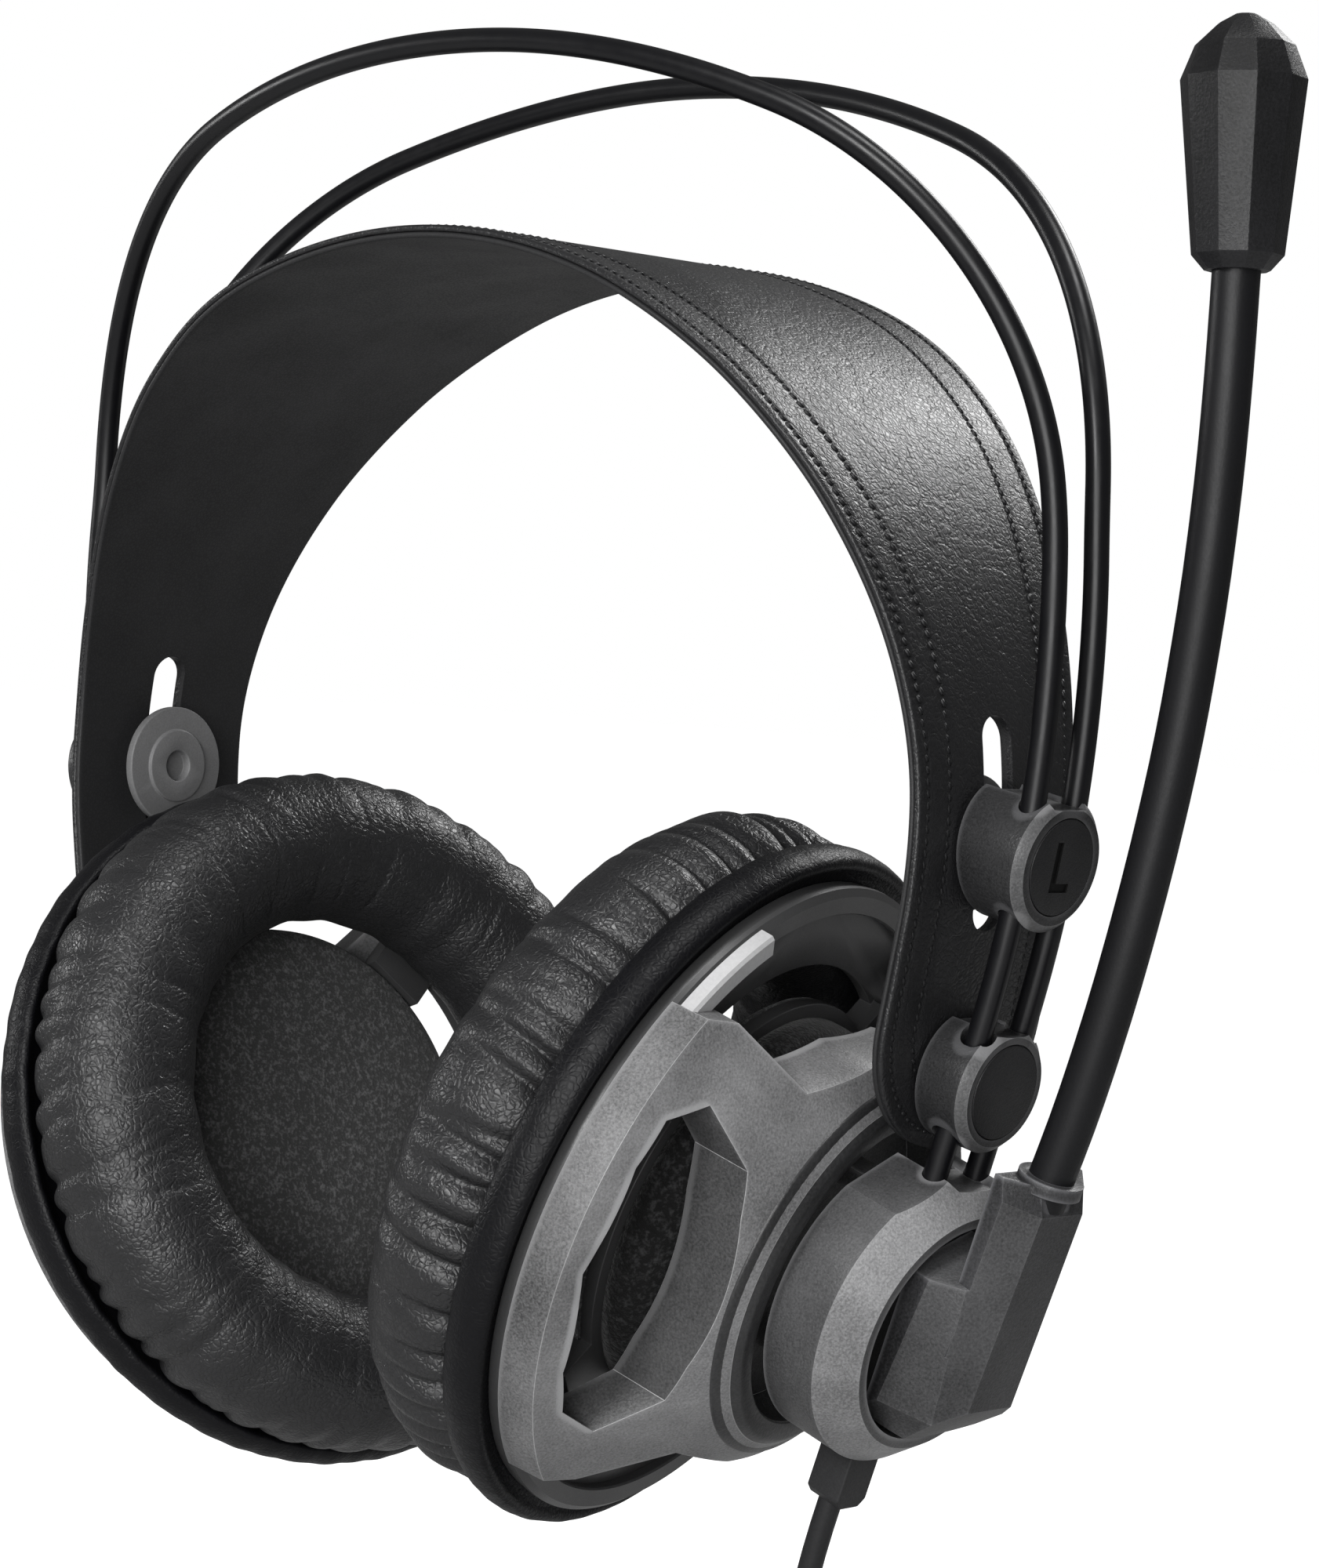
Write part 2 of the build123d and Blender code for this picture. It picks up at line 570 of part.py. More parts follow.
# ---------------------------------------------------------------- microphone
def trim(solid, *corners):
    """Cut away what lies outside a plane through three corners, and outside its mirror image."""
    reach = 3 * HUB_RADIUS
    for sign in (-1, 1):
        shift = ARM_REAR_SHIFT if sign > 0 else ARM_FRONT_SHIFT
        first, second, third = [Vector(sign * v + shift, t, n) for v, t, n in corners]
        normal = (second - first).cross(third - first).normalized()
        if normal.dot(Vector(0, 0, ARM_UNDERSIDE) - first) > 0:
            normal = normal * -1
        solid -= Plane(origin=first, z_dir=normal).location * bar((-reach, -reach, 0), (reach, reach, reach))
    return solid


def arm_body():
    """Faceted arm: a wide part on the turning plate, and a stretch over the hub's rim."""
    base = RECESS_FLOOR + CAP_GAP + PLATE_THICKNESS
    crest_side = (CREST_TOP[0], *CREST_LOW[1:])
    wide = drum(ARM_RADIUS, base, 2 * HUB_RIM)
    wide = trim(wide, SHOULDER_MIDDLE, SHOULDER_LOW, BASE_MIDDLE)
    wide = trim(wide, BASE_LOW, SHOULDER_FOOT, NOSE_CORNER)
    wide = trim(wide, BASE_TOP, BASE_SHOULDER, BASE_INNER)
    wide = trim(wide, NOSE_LOW, NOSE_HIGH, (1.0, *NOSE_HIGH[1:]))
    wide = trim(wide, (BASE_MIDDLE[0], -1, base), (BASE_MIDDLE[0], 1, base), (BASE_MIDDLE[0], 0, ARM_UNDERSIDE))
    low_corner = (ARM_FRONT_SHIFT - ARM_HALF_WIDTH, 0, ARM_UNDERSIDE)
    reach = bar(low_corner, (ARM_HALF_WIDTH + ARM_REAR_SHIFT, ARM_TOP, 2 * HUB_RIM))
    reach = trim(reach, SHOULDER_TOP, WALL_TOP, SHOULDER_MIDDLE)
    reach = trim(reach, CREST_TOP, SHOULDER_TOP, BROW_TOP)
    reach = trim(reach, CREST_TOP, (0, *CREST_TOP[1:]), (0, ARM_TOP, CREST_TOP[2] - 1.4))
    arm = wide + reach
    arm = trim(arm, CREST_TOP, CREST_LOW, crest_side)
    return trim(arm, CREST_TOP, CREST_LOW, SHOULDER_LOW)


def make_arm(boom):
    """Turning plate and shaft in the left hub, its clip, and the faceted arm that holds the boom."""
    hub = hub_plane("left").location
    plate_back = RECESS_FLOOR + CAP_GAP
    plate = drum(RECESS_RADIUS - CAP_GAP, plate_back, plate_back + PLATE_THICKNESS)
    shaft_end = FLOOR_BACK - CLIP_POCKET_DEPTH + CAP_GAP
    clip_top = FLOOR_BACK - CAP_GAP
    shaft = drum(SHAFT_RADIUS, shaft_end, plate_back)
    shaft -= ring(SHAFT_RADIUS, SHAFT_RADIUS - 1, clip_top - CLIP_THICKNESS, clip_top)
    save("mic_pivot", hub * (plate + shaft))
    save("mic_clip", hub * ring(CLIP_RADIUS, SHAFT_RADIUS - 1, clip_top - CLIP_THICKNESS, clip_top))
    collar = Pos(0, ARM_TOP, BOOM_HEIGHT) * Rot(-90, 0, 0) * drum(ARM_COLLAR_RADIUS, -1, ARM_COLLAR_LENGTH)
    save("mic_arm", hub * (arm_body() + collar) - boom)


def boom_route():
    """Boom axis from the bottom of its socket in the arm to the microphone."""
    plane = hub_plane("left")
    top = plane.origin + plane.y_dir * ARM_TOP + plane.z_dir * BOOM_HEIGHT
    first = Vector(BOOM_POINTS[0][0], 0, BOOM_POINTS[0][1]).normalized()
    root = top - first * BOOM_SOCKET
    return [(root.X, 0, root.Z)] + [(top.X + x, 0, top.Z + z) for x, z in BOOM_POINTS]


def capsule_plane():
    """Plane at the foot of the capsule, with local X through the facet that holds the grille."""
    end = Vector(*boom_route()[-1])
    lean = radians(CAPSULE_LEAN)
    axis = Vector(sin(lean), 0, cos(lean))
    facing = radians(CAPSULE_FACING)
    across = Vector(cos(facing), sin(facing), 0)
    across = (across - axis * across.dot(axis)).normalized()
    return Plane(origin=end - axis * CAPSULE_BORE_DEPTH, x_dir=across, z_dir=axis)


def make_capsule(boom):
    """Faceted microphone housing, with the grille on the facet that turns to the mouth."""
    corner = 1 / cos(pi / CAPSULE_SIDES)
    place = capsule_plane().location
    body = None
    for (low_radius, low), (high_radius, high) in zip(CAPSULE_RINGS, CAPSULE_RINGS[1:]):
        faces = []
        for radius, height in ((low_radius, low), (high_radius, high)):
            turn = Rot(0, 0, 180 / CAPSULE_SIDES)
            faces.append(Pos(0, 0, height) * turn * RegularPolygon(radius * corner, CAPSULE_SIDES))
        piece = loft(faces, ruled=True)
        body = piece if body is None else body + piece
    (low_radius, low), (high_radius, high) = CAPSULE_RINGS[1:3]
    slope = Vector(high - low, 0, low_radius - high_radius).normalized()
    middle = Vector((low_radius + high_radius) / 2, 0, (low + high) / 2)
    seat = Plane(origin=middle, x_dir=(0, 1, 0), z_dir=slope).location
    slot = Rot(0, 0, 90) * SlotOverall(GRILLE_LENGTH, GRILLE_WIDTH)
    body -= seat * Pos(0, 0, -GRILLE_THICKNESS) * extrude(slot, 2 * GRILLE_THICKNESS)
    save("mic_capsule", place * body - boom)
    save("mic_grille", place * seat * Pos(0, 0, -GRILLE_THICKNESS) * extrude(slot, 0.75 * GRILLE_THICKNESS))


# ---------------------------------------------------------------- ear cups
def window(corners, low, high):
    """Window through the shell, symmetrical about local X, from (radius, angle) corners."""
    upper = [polar(radius, angle) for radius, angle in corners]
    lower = [(x, -y) for x, y in reversed(upper)]
    return prism(upper + lower, low, high)


def make_shell(side):
    """Cup shell: collar, four arms, rim, and the lugs for the gimbal ring."""
    slope = (BEVEL_INNER_DEPTH - SHELL_TOP_DEPTH) / (BEVEL_INNER_RADIUS - SHELL_TOP_RADIUS)
    floor_back = COLLAR_FLOOR + COLLAR_FLOOR_THICKNESS
    rim_inner = RIM_RADIUS - RIM_WALL
    cone_start = SHELL_TOP_RADIUS - 1
    cone_end = cone_start + (RIM_DEPTH - 2 - SHELL_TOP_DEPTH - ARM_DEPTH) / slope
    shell = turned(
        (0, -COLLAR_FLOOR), (COLLAR_INNER_RADIUS, -COLLAR_FLOOR), (COLLAR_INNER_RADIUS, -COLLAR_FRONT),
        (COLLAR_OUTER_RADIUS, -COLLAR_FRONT), (COLLAR_OUTER_RADIUS + 0.3, -SHELL_TOP_DEPTH),
        (SHELL_TOP_RADIUS, -SHELL_TOP_DEPTH), (BEVEL_INNER_RADIUS, -BEVEL_INNER_DEPTH),
        (BEVEL_OUTER_RADIUS, -BEVEL_OUTER_DEPTH), (RIM_RADIUS, -RIM_DEPTH), (rim_inner, -RIM_DEPTH),
        (rim_inner, -RIM_DEPTH + 2), (cone_end, -RIM_DEPTH + 2), (cone_start, -floor_back), (0, -floor_back),
    )
    front_window = [(41.0, 0), (40.4, 20), (40.2, 29.5), (37.4, 36.5), (30.4, 31), (WINDOW_INNER_RADIUS, 21)]
    top_window = [(60.0, 0), (60.0, 44), (44.4, 44.5), (40.4, 39), (30.6, 35.5), (WINDOW_INNER_RADIUS, 13)]
    for turn in (0, 180):
        shell -= Rot(0, 0, turn) * window(front_window, -RIM_DEPTH - 1, 0)
        shell -= Rot(0, 0, turn + 90) * window(top_window, -RIM_DEPTH - 1, 0)
    for angle in SPOKE_ANGLES:
        x, y = polar(SCREW_CIRCLE, angle)
        boss = Pos(x, y) * drum(SCREW_BOSS_RADIUS, -RIM_DEPTH, -RIM_DEPTH + 5)
        bore = Pos(x, y) * drum(SCREW_RADIUS, -RIM_DEPTH, SCREW_LENGTH - RIM_DEPTH - BAFFLE_THICKNESS)
        shell = shell + boss - bore
    lug_near = GIMBAL_OUTER_RADIUS + LUG_GAP
    for sign in (-1, 1):
        low, high = sorted((sign * lug_near, sign * (lug_near + LUG_THICKNESS)))
        shell += bar((-LUG_RADIUS, low, -COLLAR_FLOOR), (LUG_RADIUS, high, 0))
        shell += Rot(90, 0, 0) * drum(LUG_RADIUS, -high, -low)
    shell -= Rot(90, 0, 0) * drum(PIN_BORE_RADIUS, -lug_near - LUG_THICKNESS, lug_near + LUG_THICKNESS)
    save(f"cup_shell_{side}", cup_plane(side).location * shell)


def make_driver(side):
    """Baffle with its spokes and driver plate, the driver, its housing, foam and screws."""
    place = cup_plane(side).location
    ring_back = -RIM_DEPTH - BAFFLE_THICKNESS
    plate_top = -RIM_DEPTH + BAFFLE_THICKNESS
    baffle = ring(BAFFLE_RADIUS, BAFFLE_RING_INNER, ring_back, -RIM_DEPTH)
    baffle += drum(DRIVER_PLATE_RADIUS, -RIM_DEPTH, plate_top)
    half = BAFFLE_SPOKE_WIDTH / 2
    screws = []
    for angle in SPOKE_ANGLES:
        low = DRIVER_PLATE_RADIUS - 3
        spoke = Rot(0, 0, angle) * bar((low, -half, -RIM_DEPTH), (BAFFLE_RING_INNER + 0.5, half, plate_top))
        foot = Rot(0, 0, angle) * bar(
            (FOAM_RADIUS + CAP_GAP, -half, ring_back), (BAFFLE_RING_INNER + 0.5, half, -RIM_DEPTH)
        )
        baffle = baffle + spoke + foot
        x, y = polar(SCREW_CIRCLE, angle)
        head_top = ring_back + SCREW_HEAD_THICKNESS
        head = Pos(x, y) * drum(SCREW_HEAD_RADIUS, ring_back, head_top)
        shank = Pos(x, y) * drum(SCREW_RADIUS, head_top, ring_back + SCREW_LENGTH)
        baffle = baffle - head - Pos(x, y) * drum(SCREW_RADIUS, ring_back, 0)
        screws.append(head + shank)
    baffle -= drum(DRIVER_APERTURE_RADIUS, ring_back, 0)
    save(f"baffle_{side}", place * baffle)
    save(f"cup_screws_{side}", place * Compound(children=screws))

    driver = ring(DRIVER_RADIUS, DRIVER_APERTURE_RADIUS - 1, plate_top, plate_top + DRIVER_THICKNESS)
    driver += turned((0, plate_top + 1.2), (DRIVER_APERTURE_RADIUS, plate_top + 0.6),
                     (DRIVER_APERTURE_RADIUS, plate_top + DRIVER_THICKNESS), (0, plate_top + DRIVER_THICKNESS))
    save(f"driver_{side}", place * driver)
    magnet_low = plate_top + DRIVER_THICKNESS
    save(f"driver_magnet_{side}", place * drum(MAGNET_RADIUS, magnet_low, magnet_low + MAGNET_THICKNESS))

    top = -HOUSING_TOP_DEPTH
    inner_top = top - HOUSING_WALL
    inner = HOUSING_RADIUS - HOUSING_WALL
    housing = turned(
        (0, top), (19.0, top - 0.3), (HOUSING_RADIUS, top - 4.6), (HOUSING_RADIUS, plate_top),
        (inner, plate_top), (inner, top - 5.4), (18.4, inner_top - 0.3), (0, inner_top),
    )
    save(f"driver_housing_{side}", place * housing)
    save(f"driver_foam_{side}", place * drum(FOAM_RADIUS, -RIM_DEPTH - FOAM_THICKNESS, -RIM_DEPTH))


def make_pad(side):
    """Ear cushion and the lip that holds it on the baffle."""
    place = cup_plane(side).location
    lip_top = -RIM_DEPTH - BAFFLE_THICKNESS
    base = lip_top - LIP_THICKNESS
    save(f"pad_lip_{side}", place * ring(LIP_RADIUS, BAFFLE_RING_INNER, base, lip_top))
    middle = base - PAD_HEIGHT + PAD_TUBE_RADIUS
    outer = PAD_RING_RADIUS + PAD_TUBE_RADIUS
    inner = PAD_RING_RADIUS - PAD_TUBE_RADIUS
    diagonal = PAD_TUBE_RADIUS / sqrt(2)
    outline = make_face([
        Line((PAD_BASE_INNER, base), (PAD_BASE_OUTER, base)),
        ThreePointArc((PAD_BASE_OUTER, base), (outer - 0.4, (base + middle) / 2), (outer, middle)),
        ThreePointArc((outer, middle), (PAD_RING_RADIUS + diagonal, middle - diagonal),
                      (PAD_RING_RADIUS, middle - PAD_TUBE_RADIUS)),
        ThreePointArc((PAD_RING_RADIUS, middle - PAD_TUBE_RADIUS),
                      (PAD_RING_RADIUS - diagonal, middle - diagonal), (inner, middle)),
        ThreePointArc((inner, middle), (inner + 1.7, (base + middle) / 2), (PAD_BASE_INNER, base)),
    ])
    save(f"ear_pad_{side}", place * revolve(Plane.XZ * outline, Axis.Z))


# ---------------------------------------------------------------- cable
def make_cable():
    """Block under the left hub, the hanging cable, its tied hank and the plug."""
    plane = hub_plane("left")
    half = RELIEF_WIDTH / 2
    top = -HUB_RADIUS + 2
    cut = RELIEF_CHAMFER
    outline = [(-half, top), (-half, RELIEF_END + cut), (-half + cut, RELIEF_END), (half - cut, RELIEF_END),
               (half, RELIEF_END + cut), (half, top)]
    relief = prism(outline, RELIEF_NEAR, RELIEF_FAR) - drum(HUB_RADIUS, 0, HUB_RIM)
    save("strain_relief", plane.location * relief)

    start = plane.origin + plane.y_dir * RELIEF_END + plane.z_dir * CABLE_HEIGHT
    hank = Pos(*HANK_CENTRE) * Rot(90, 0, 0) * Torus(HANK_RADIUS, HANK_BUNDLE_RADIUS)
    lead = tangent_tube([(start.X, 0, start.Z)] + LEAD_POINTS, CABLE_RADIUS, "cable_lead")
    tail = tangent_tube(TAIL_POINTS, CABLE_RADIUS, "cable_tail")
    save("cable_lead", lead - hank)
    save("cable_tail", tail - hank)
    tie_centre = Vector(*HANK_CENTRE) - Vector(HANK_RADIUS, 0, 0)
    tie = Pos(tie_centre) * drum(HANK_BUNDLE_RADIUS + TIE_THICKNESS, -TIE_WIDTH / 2, TIE_WIDTH / 2)
    save("cable_hank", hank)
    save("cable_tie", tie - hank)

    before, end = [Vector(*point) for point in TAIL_POINTS[-2:]]
    down = Plane(origin=end, z_dir=end - before).location
    neck_end = PLUG_NECK_LENGTH
    body_end = neck_end + PLUG_BODY_LENGTH
    neck_radius = CABLE_RADIUS + PLUG_NECK_WALL
    save("plug_body", down * turned(
        (0, 0), (neck_radius, 0), (neck_radius + PLUG_CHAMFER, neck_end), (PLUG_BODY_RADIUS, neck_end + 0.8),
        (PLUG_BODY_RADIUS, body_end - PLUG_CHAMFER), (PLUG_BODY_RADIUS - PLUG_CHAMFER, body_end), (0, body_end),
    ))
    pin_radius = PLUG_PIN_DIAMETER / 2
    tip = body_end + PLUG_PIN_LENGTH
    pin = turned(
        (0, body_end), (pin_radius, body_end), (pin_radius, tip - PLUG_TIP_LENGTH),
        (pin_radius - PLUG_TIP_WAIST, tip - 0.78 * PLUG_TIP_LENGTH), (pin_radius, tip - 0.5 * PLUG_TIP_LENGTH),
        (PLUG_TIP_WAIST, tip), (0, tip),
    )
    save("plug_pin", down * pin)


# ---------------------------------------------------------------- build
def main():
    """Make every node and write it."""
    for face in FACES:
        save(f"hoop_{face}", hoop(face, WIRE_RADIUS))
    make_strap()
    make_hub_cap()
    for side in SIDES:
        make_upper_block(side)
        make_lower_block(side)
        make_hub(side)
        make_shell(side)
        make_driver(side)
        make_pad(side)
    boom = tangent_tube(boom_route(), BOOM_DIAMETER / 2)
    save("mic_boom", boom)
    make_arm(boom)
    make_capsule(boom)
    make_cable()
    os.makedirs("parts", exist_ok=True)
    for name, shape in nodes.items():
        export_step(shape, f"parts/{name}.step")


main()
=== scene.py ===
import json
import logging
import math
from dataclasses import dataclass
from enum import Enum

import bmesh
import bpy
import numpy as np
from mathutils import Matrix, Vector


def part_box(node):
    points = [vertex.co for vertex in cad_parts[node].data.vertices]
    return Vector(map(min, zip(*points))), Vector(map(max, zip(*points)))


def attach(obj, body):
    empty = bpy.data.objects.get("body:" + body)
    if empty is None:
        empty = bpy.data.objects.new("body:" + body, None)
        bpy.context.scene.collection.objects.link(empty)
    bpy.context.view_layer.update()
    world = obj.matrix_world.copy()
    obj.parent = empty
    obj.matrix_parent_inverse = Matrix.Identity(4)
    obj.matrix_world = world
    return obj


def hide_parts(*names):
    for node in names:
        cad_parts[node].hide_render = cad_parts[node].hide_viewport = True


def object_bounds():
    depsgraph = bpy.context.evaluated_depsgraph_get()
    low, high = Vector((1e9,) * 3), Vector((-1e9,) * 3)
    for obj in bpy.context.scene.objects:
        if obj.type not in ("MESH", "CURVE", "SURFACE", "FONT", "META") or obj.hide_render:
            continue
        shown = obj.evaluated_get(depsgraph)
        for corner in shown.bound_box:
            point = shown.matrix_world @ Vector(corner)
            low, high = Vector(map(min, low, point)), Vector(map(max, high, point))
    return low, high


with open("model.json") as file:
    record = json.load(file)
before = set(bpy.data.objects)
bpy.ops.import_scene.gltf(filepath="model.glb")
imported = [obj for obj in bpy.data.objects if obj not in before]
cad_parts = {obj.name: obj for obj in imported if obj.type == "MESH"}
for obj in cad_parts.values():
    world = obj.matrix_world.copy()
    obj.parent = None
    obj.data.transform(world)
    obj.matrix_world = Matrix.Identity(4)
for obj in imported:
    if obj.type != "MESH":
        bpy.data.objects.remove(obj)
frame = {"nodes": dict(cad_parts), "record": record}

LOG = logging.getLogger("headset")
CAD_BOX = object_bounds()
MM = 0.001
PIVOT_X = 61.7 * MM
PIVOT_Z = -128.2 * MM
BODY_OF = {node: body for body, nodes in frame["record"]["behaviour"]["bodies"].items() for node in nodes}
Colour = tuple[float, float, float]


class Side(Enum):
    """A side of the wearer's head."""

    LEFT = 1
    RIGHT = -1

    @property
    def word(self) -> str:
        """Lower-case name, as the frame's nodes and bodies spell it."""
        return self.name.lower()


# ---------------------------------------------------------------- node tools
class Wiring:
    """Short calls for building one node tree."""

    def __init__(self, tree: bpy.types.NodeTree) -> None:
        """Start on a tree.

        Args:
            tree: The node tree that gets the nodes.
        """
        self.tree = tree

    def add(self, kind: str, **settings: object) -> bpy.types.Node:
        """Add a node.

        Args:
            kind: The node's type name.
            settings: Properties to set on it.

        Returns:
            The new node.
        """
        node = self.tree.nodes.new(kind)
        for key, value in settings.items():
            setattr(node, key, value)
        return node

    def feed(self, socket: bpy.types.NodeSocket, value: object) -> None:
        """Link a socket to another, or set its value.

        Args:
            socket: The input.
            value: An output socket, or a plain value.
        """
        if isinstance(value, bpy.types.NodeSocket):
            self.tree.links.new(value, socket)
        else:
            socket.default_value = value

    def maths(self, operation: str, *values: object, clamp: bool = False) -> bpy.types.NodeSocket:
        """Add a Math node.

        Args:
            operation: The sum it does.
            values: Its inputs, as sockets or numbers.
            clamp: Whether the result is kept from 0 to 1.

        Returns:
            Its output.
        """
        node = self.add("ShaderNodeMath", operation=operation, use_clamp=clamp)
        for socket, value in zip(node.inputs, values):
            self.feed(socket, value)
        return node.outputs[0]

    def spread(
        self, value: object, low: float, high: float, out_low: float, out_high: float
    ) -> bpy.types.NodeSocket:
        """Add a clamped Map Range node.

        Args:
            value: The value to map.
            low: Start of its range.
            high: End of its range.
            out_low: Result at the start.
            out_high: Result at the end.

        Returns:
            The mapped value.
        """
        node = self.add("ShaderNodeMapRange")
        for socket, item in zip(node.inputs, (value, low, high, out_low, out_high)):
            self.feed(socket, item)
        return node.outputs[0]

    def noise(
        self, vector: object, scale: object, detail: float = 2.0, rough: float = 0.5
    ) -> bpy.types.NodeSocket:
        """Add a noise texture.

        Args:
            vector: Where it is read.
            scale: Its scale.
            detail: Its octaves.
            rough: How strong the finer octaves are.

        Returns:
            Its factor.
        """
        node = self.add("ShaderNodeTexNoise")
        self.feed(node.inputs["Vector"], vector)
        self.feed(node.inputs["Scale"], scale)
        node.inputs["Detail"].default_value = detail
        node.inputs["Roughness"].default_value = rough
        return node.outputs["Fac"]


def shader_group(
    name: str, inputs: dict[str, float], outputs: tuple[str, ...]
) -> tuple[Wiring, dict, bpy.types.Node]:
    """Start a shader node group with number inputs and outputs.

    Args:
        name: The group's name.
        inputs: Names and default values of its inputs.
        outputs: Names of its outputs.

    Returns:
        The wiring, the input sockets by name, and the output node.
    """
    tree = bpy.data.node_groups.new(name, "ShaderNodeTree")
    for label, value in inputs.items():
        socket = tree.interface.new_socket(label, in_out="INPUT", socket_type="NodeSocketFloat")
        socket.default_value = value
    for label in outputs:
        tree.interface.new_socket(label, in_out="OUTPUT", socket_type="NodeSocketFloat")
    wiring = Wiring(tree)
    source = wiring.add("NodeGroupInput")
    return wiring, {label: source.outputs[label] for label in inputs}, wiring.add("NodeGroupOutput")


def build_grain_group() -> bpy.types.NodeTree:
    """Fine pitted grain of moulded plastic, with a slow change of tone.

    Returns:
        The group, with inputs Size and Patch in metres and outputs Height and Tone.
    """
    wiring, given, result = shader_group("moulded_grain", {"Size": 0.0003, "Patch": 0.02}, ("Height", "Tone"))
    place = wiring.add("ShaderNodeTexCoord").outputs["Object"]
    fine = wiring.noise(place, wiring.maths("DIVIDE", 1.0, given["Size"]), 2.0, 0.6)
    pits = wiring.noise(place, wiring.maths("DIVIDE", 0.45, given["Size"]), 1.0, 0.5)
    slow = wiring.noise(place, wiring.maths("DIVIDE", 1.0, given["Patch"]), 3.0, 0.55)
    height = wiring.maths("ADD", wiring.maths("MULTIPLY", fine, 0.6), wiring.maths("MULTIPLY", pits, 0.4))
    tone = wiring.maths("ADD", wiring.maths("MULTIPLY", fine, 0.45), wiring.maths("MULTIPLY", slow, 0.55))
    wiring.feed(result.inputs["Height"], height)
    wiring.feed(result.inputs["Tone"], wiring.spread(tone, 0.35, 0.65, 0.0, 1.0))
    return wiring.tree


def build_hide_group() -> bpy.types.NodeTree:
    """Leather grain: small cells with creases between them, and longer wrinkles.

    Returns:
        The group, with inputs Cell in metres and Wrinkle, and outputs Height and Tone.
    """
    wiring, given, result = shader_group("hide_grain", {"Cell": 0.0008, "Wrinkle": 0.4}, ("Height", "Tone"))
    place = wiring.add("ShaderNodeTexCoord").outputs["Object"]
    bend = wiring.add("ShaderNodeTexNoise")
    wiring.feed(bend.inputs["Vector"], place)
    wiring.feed(bend.inputs["Scale"], wiring.maths("DIVIDE", 0.35, given["Cell"]))
    shift = wiring.add("ShaderNodeVectorMath", operation="SCALE")
    wiring.feed(shift.inputs[0], bend.outputs["Color"])
    wiring.feed(shift.inputs["Scale"], wiring.maths("MULTIPLY", given["Cell"], 1.6))
    bent = wiring.add("ShaderNodeVectorMath", operation="ADD")
    wiring.feed(bent.inputs[0], place)
    wiring.feed(bent.inputs[1], shift.outputs[0])
    cells = wiring.add("ShaderNodeTexVoronoi", feature="DISTANCE_TO_EDGE")
    wiring.feed(cells.inputs["Vector"], bent.outputs[0])
    wiring.feed(cells.inputs["Scale"], wiring.maths("DIVIDE", 1.0, given["Cell"]))
    dome = wiring.spread(cells.outputs["Distance"], 0.0, 0.22, 0.0, 1.0)
    long_bend = wiring.noise(bent.outputs[0], wiring.maths("DIVIDE", 0.16, given["Cell"]), 3.0, 0.6)
    ridge = wiring.maths("ABSOLUTE", wiring.maths("SUBTRACT", long_bend, 0.5))
    crease = wiring.maths("MULTIPLY", wiring.spread(ridge, 0.0, 0.05, -1.0, 0.0), given["Wrinkle"])
    patches = wiring.noise(place, wiring.maths("DIVIDE", 0.05, given["Cell"]), 2.0, 0.5)
    wiring.feed(result.inputs["Height"], wiring.maths("ADD", wiring.maths("MULTIPLY", dome, 0.6), crease))
    tone = wiring.maths("ADD", wiring.maths("MULTIPLY", dome, 0.35), wiring.maths("MULTIPLY", patches, 0.65))
    wiring.feed(result.inputs["Tone"], tone)
    return wiring.tree


def build_edge_group() -> bpy.types.NodeTree:
    """Painted highlight on outer edges and painted shade in inner corners, both found by local ambient
    occlusion.

    Returns:
        The group, with the input Reach in metres and outputs Edge and Crease.
    """
    wiring, given, result = shader_group("edge_wear", {"Reach": 0.0009}, ("Edge", "Crease"))
    # Edge is the mask of the painted highlight, Crease the mask of the painted shade.
    for label, inside, low, high in (("Edge", True, 0.10, 0.42), ("Crease", False, 0.25, 0.75)):
        near = wiring.add("ShaderNodeAmbientOcclusion", samples=8, inside=inside, only_local=True)
        wiring.feed(near.inputs["Distance"], given["Reach"])
        closed = wiring.maths("SUBTRACT", 1.0, near.outputs["AO"])
        wiring.feed(result.inputs[label], wiring.spread(closed, low, high, 0.0, 1.0))
    return wiring.tree


GRAIN = build_grain_group()
HIDE = build_hide_group()
EDGES = build_edge_group()


def fresh_material(name: str) -> tuple[Wiring, bpy.types.Node]:
    """Start a material with one Principled shader.

    Args:
        name: The material's name.

    Returns:
        The wiring and the shader node.
    """
    material = bpy.data.materials.new(name)
    material.use_nodes = True
    material.node_tree.nodes.clear()
    wiring = Wiring(material.node_tree)
    shader = wiring.add("ShaderNodeBsdfPrincipled")
    end = wiring.add("ShaderNodeOutputMaterial")
    wiring.feed(end.inputs["Surface"], shader.outputs[0])
    return wiring, shader


def blended(wiring: Wiring, share: bpy.types.NodeSocket, dark: Colour, light: Colour) -> bpy.types.NodeSocket:
    """Mix two colours by a mask.

    Args:
        wiring: The tree's wiring.
        share: The mask.
        dark: Colour where the mask is 0.
        light: Colour where it is 1.

    Returns:
        The mixed colour.
    """
    ramp = wiring.add("ShaderNodeValToRGB")
    wiring.feed(ramp.inputs[0], share)
    ramp.color_ramp.elements[0].color = (*dark, 1)
    ramp.color_ramp.elements[1].color = (*light, 1)
    return ramp.outputs[0]


def tinted(wiring: Wiring, share: object, base: object, tint: Colour) -> bpy.types.NodeSocket:
    """Lay a plain colour over another by a mask.

    Args:
        wiring: The tree's wiring.
        share: The mask.
        base: Colour where the mask is 0.
        tint: Colour where it is 1.

    Returns:
        The mixed colour.
    """
    node = wiring.add("ShaderNodeMix", data_type="RGBA")
    wiring.feed(node.inputs[0], share)
    wiring.feed(node.inputs[6], base)
    wiring.feed(node.inputs[7], (*tint, 1))
    return node.outputs[2]


def scaled(colour: Colour, share: float) -> Colour:
    """Colour made lighter or darker."""
    return tuple(part * share for part in colour)


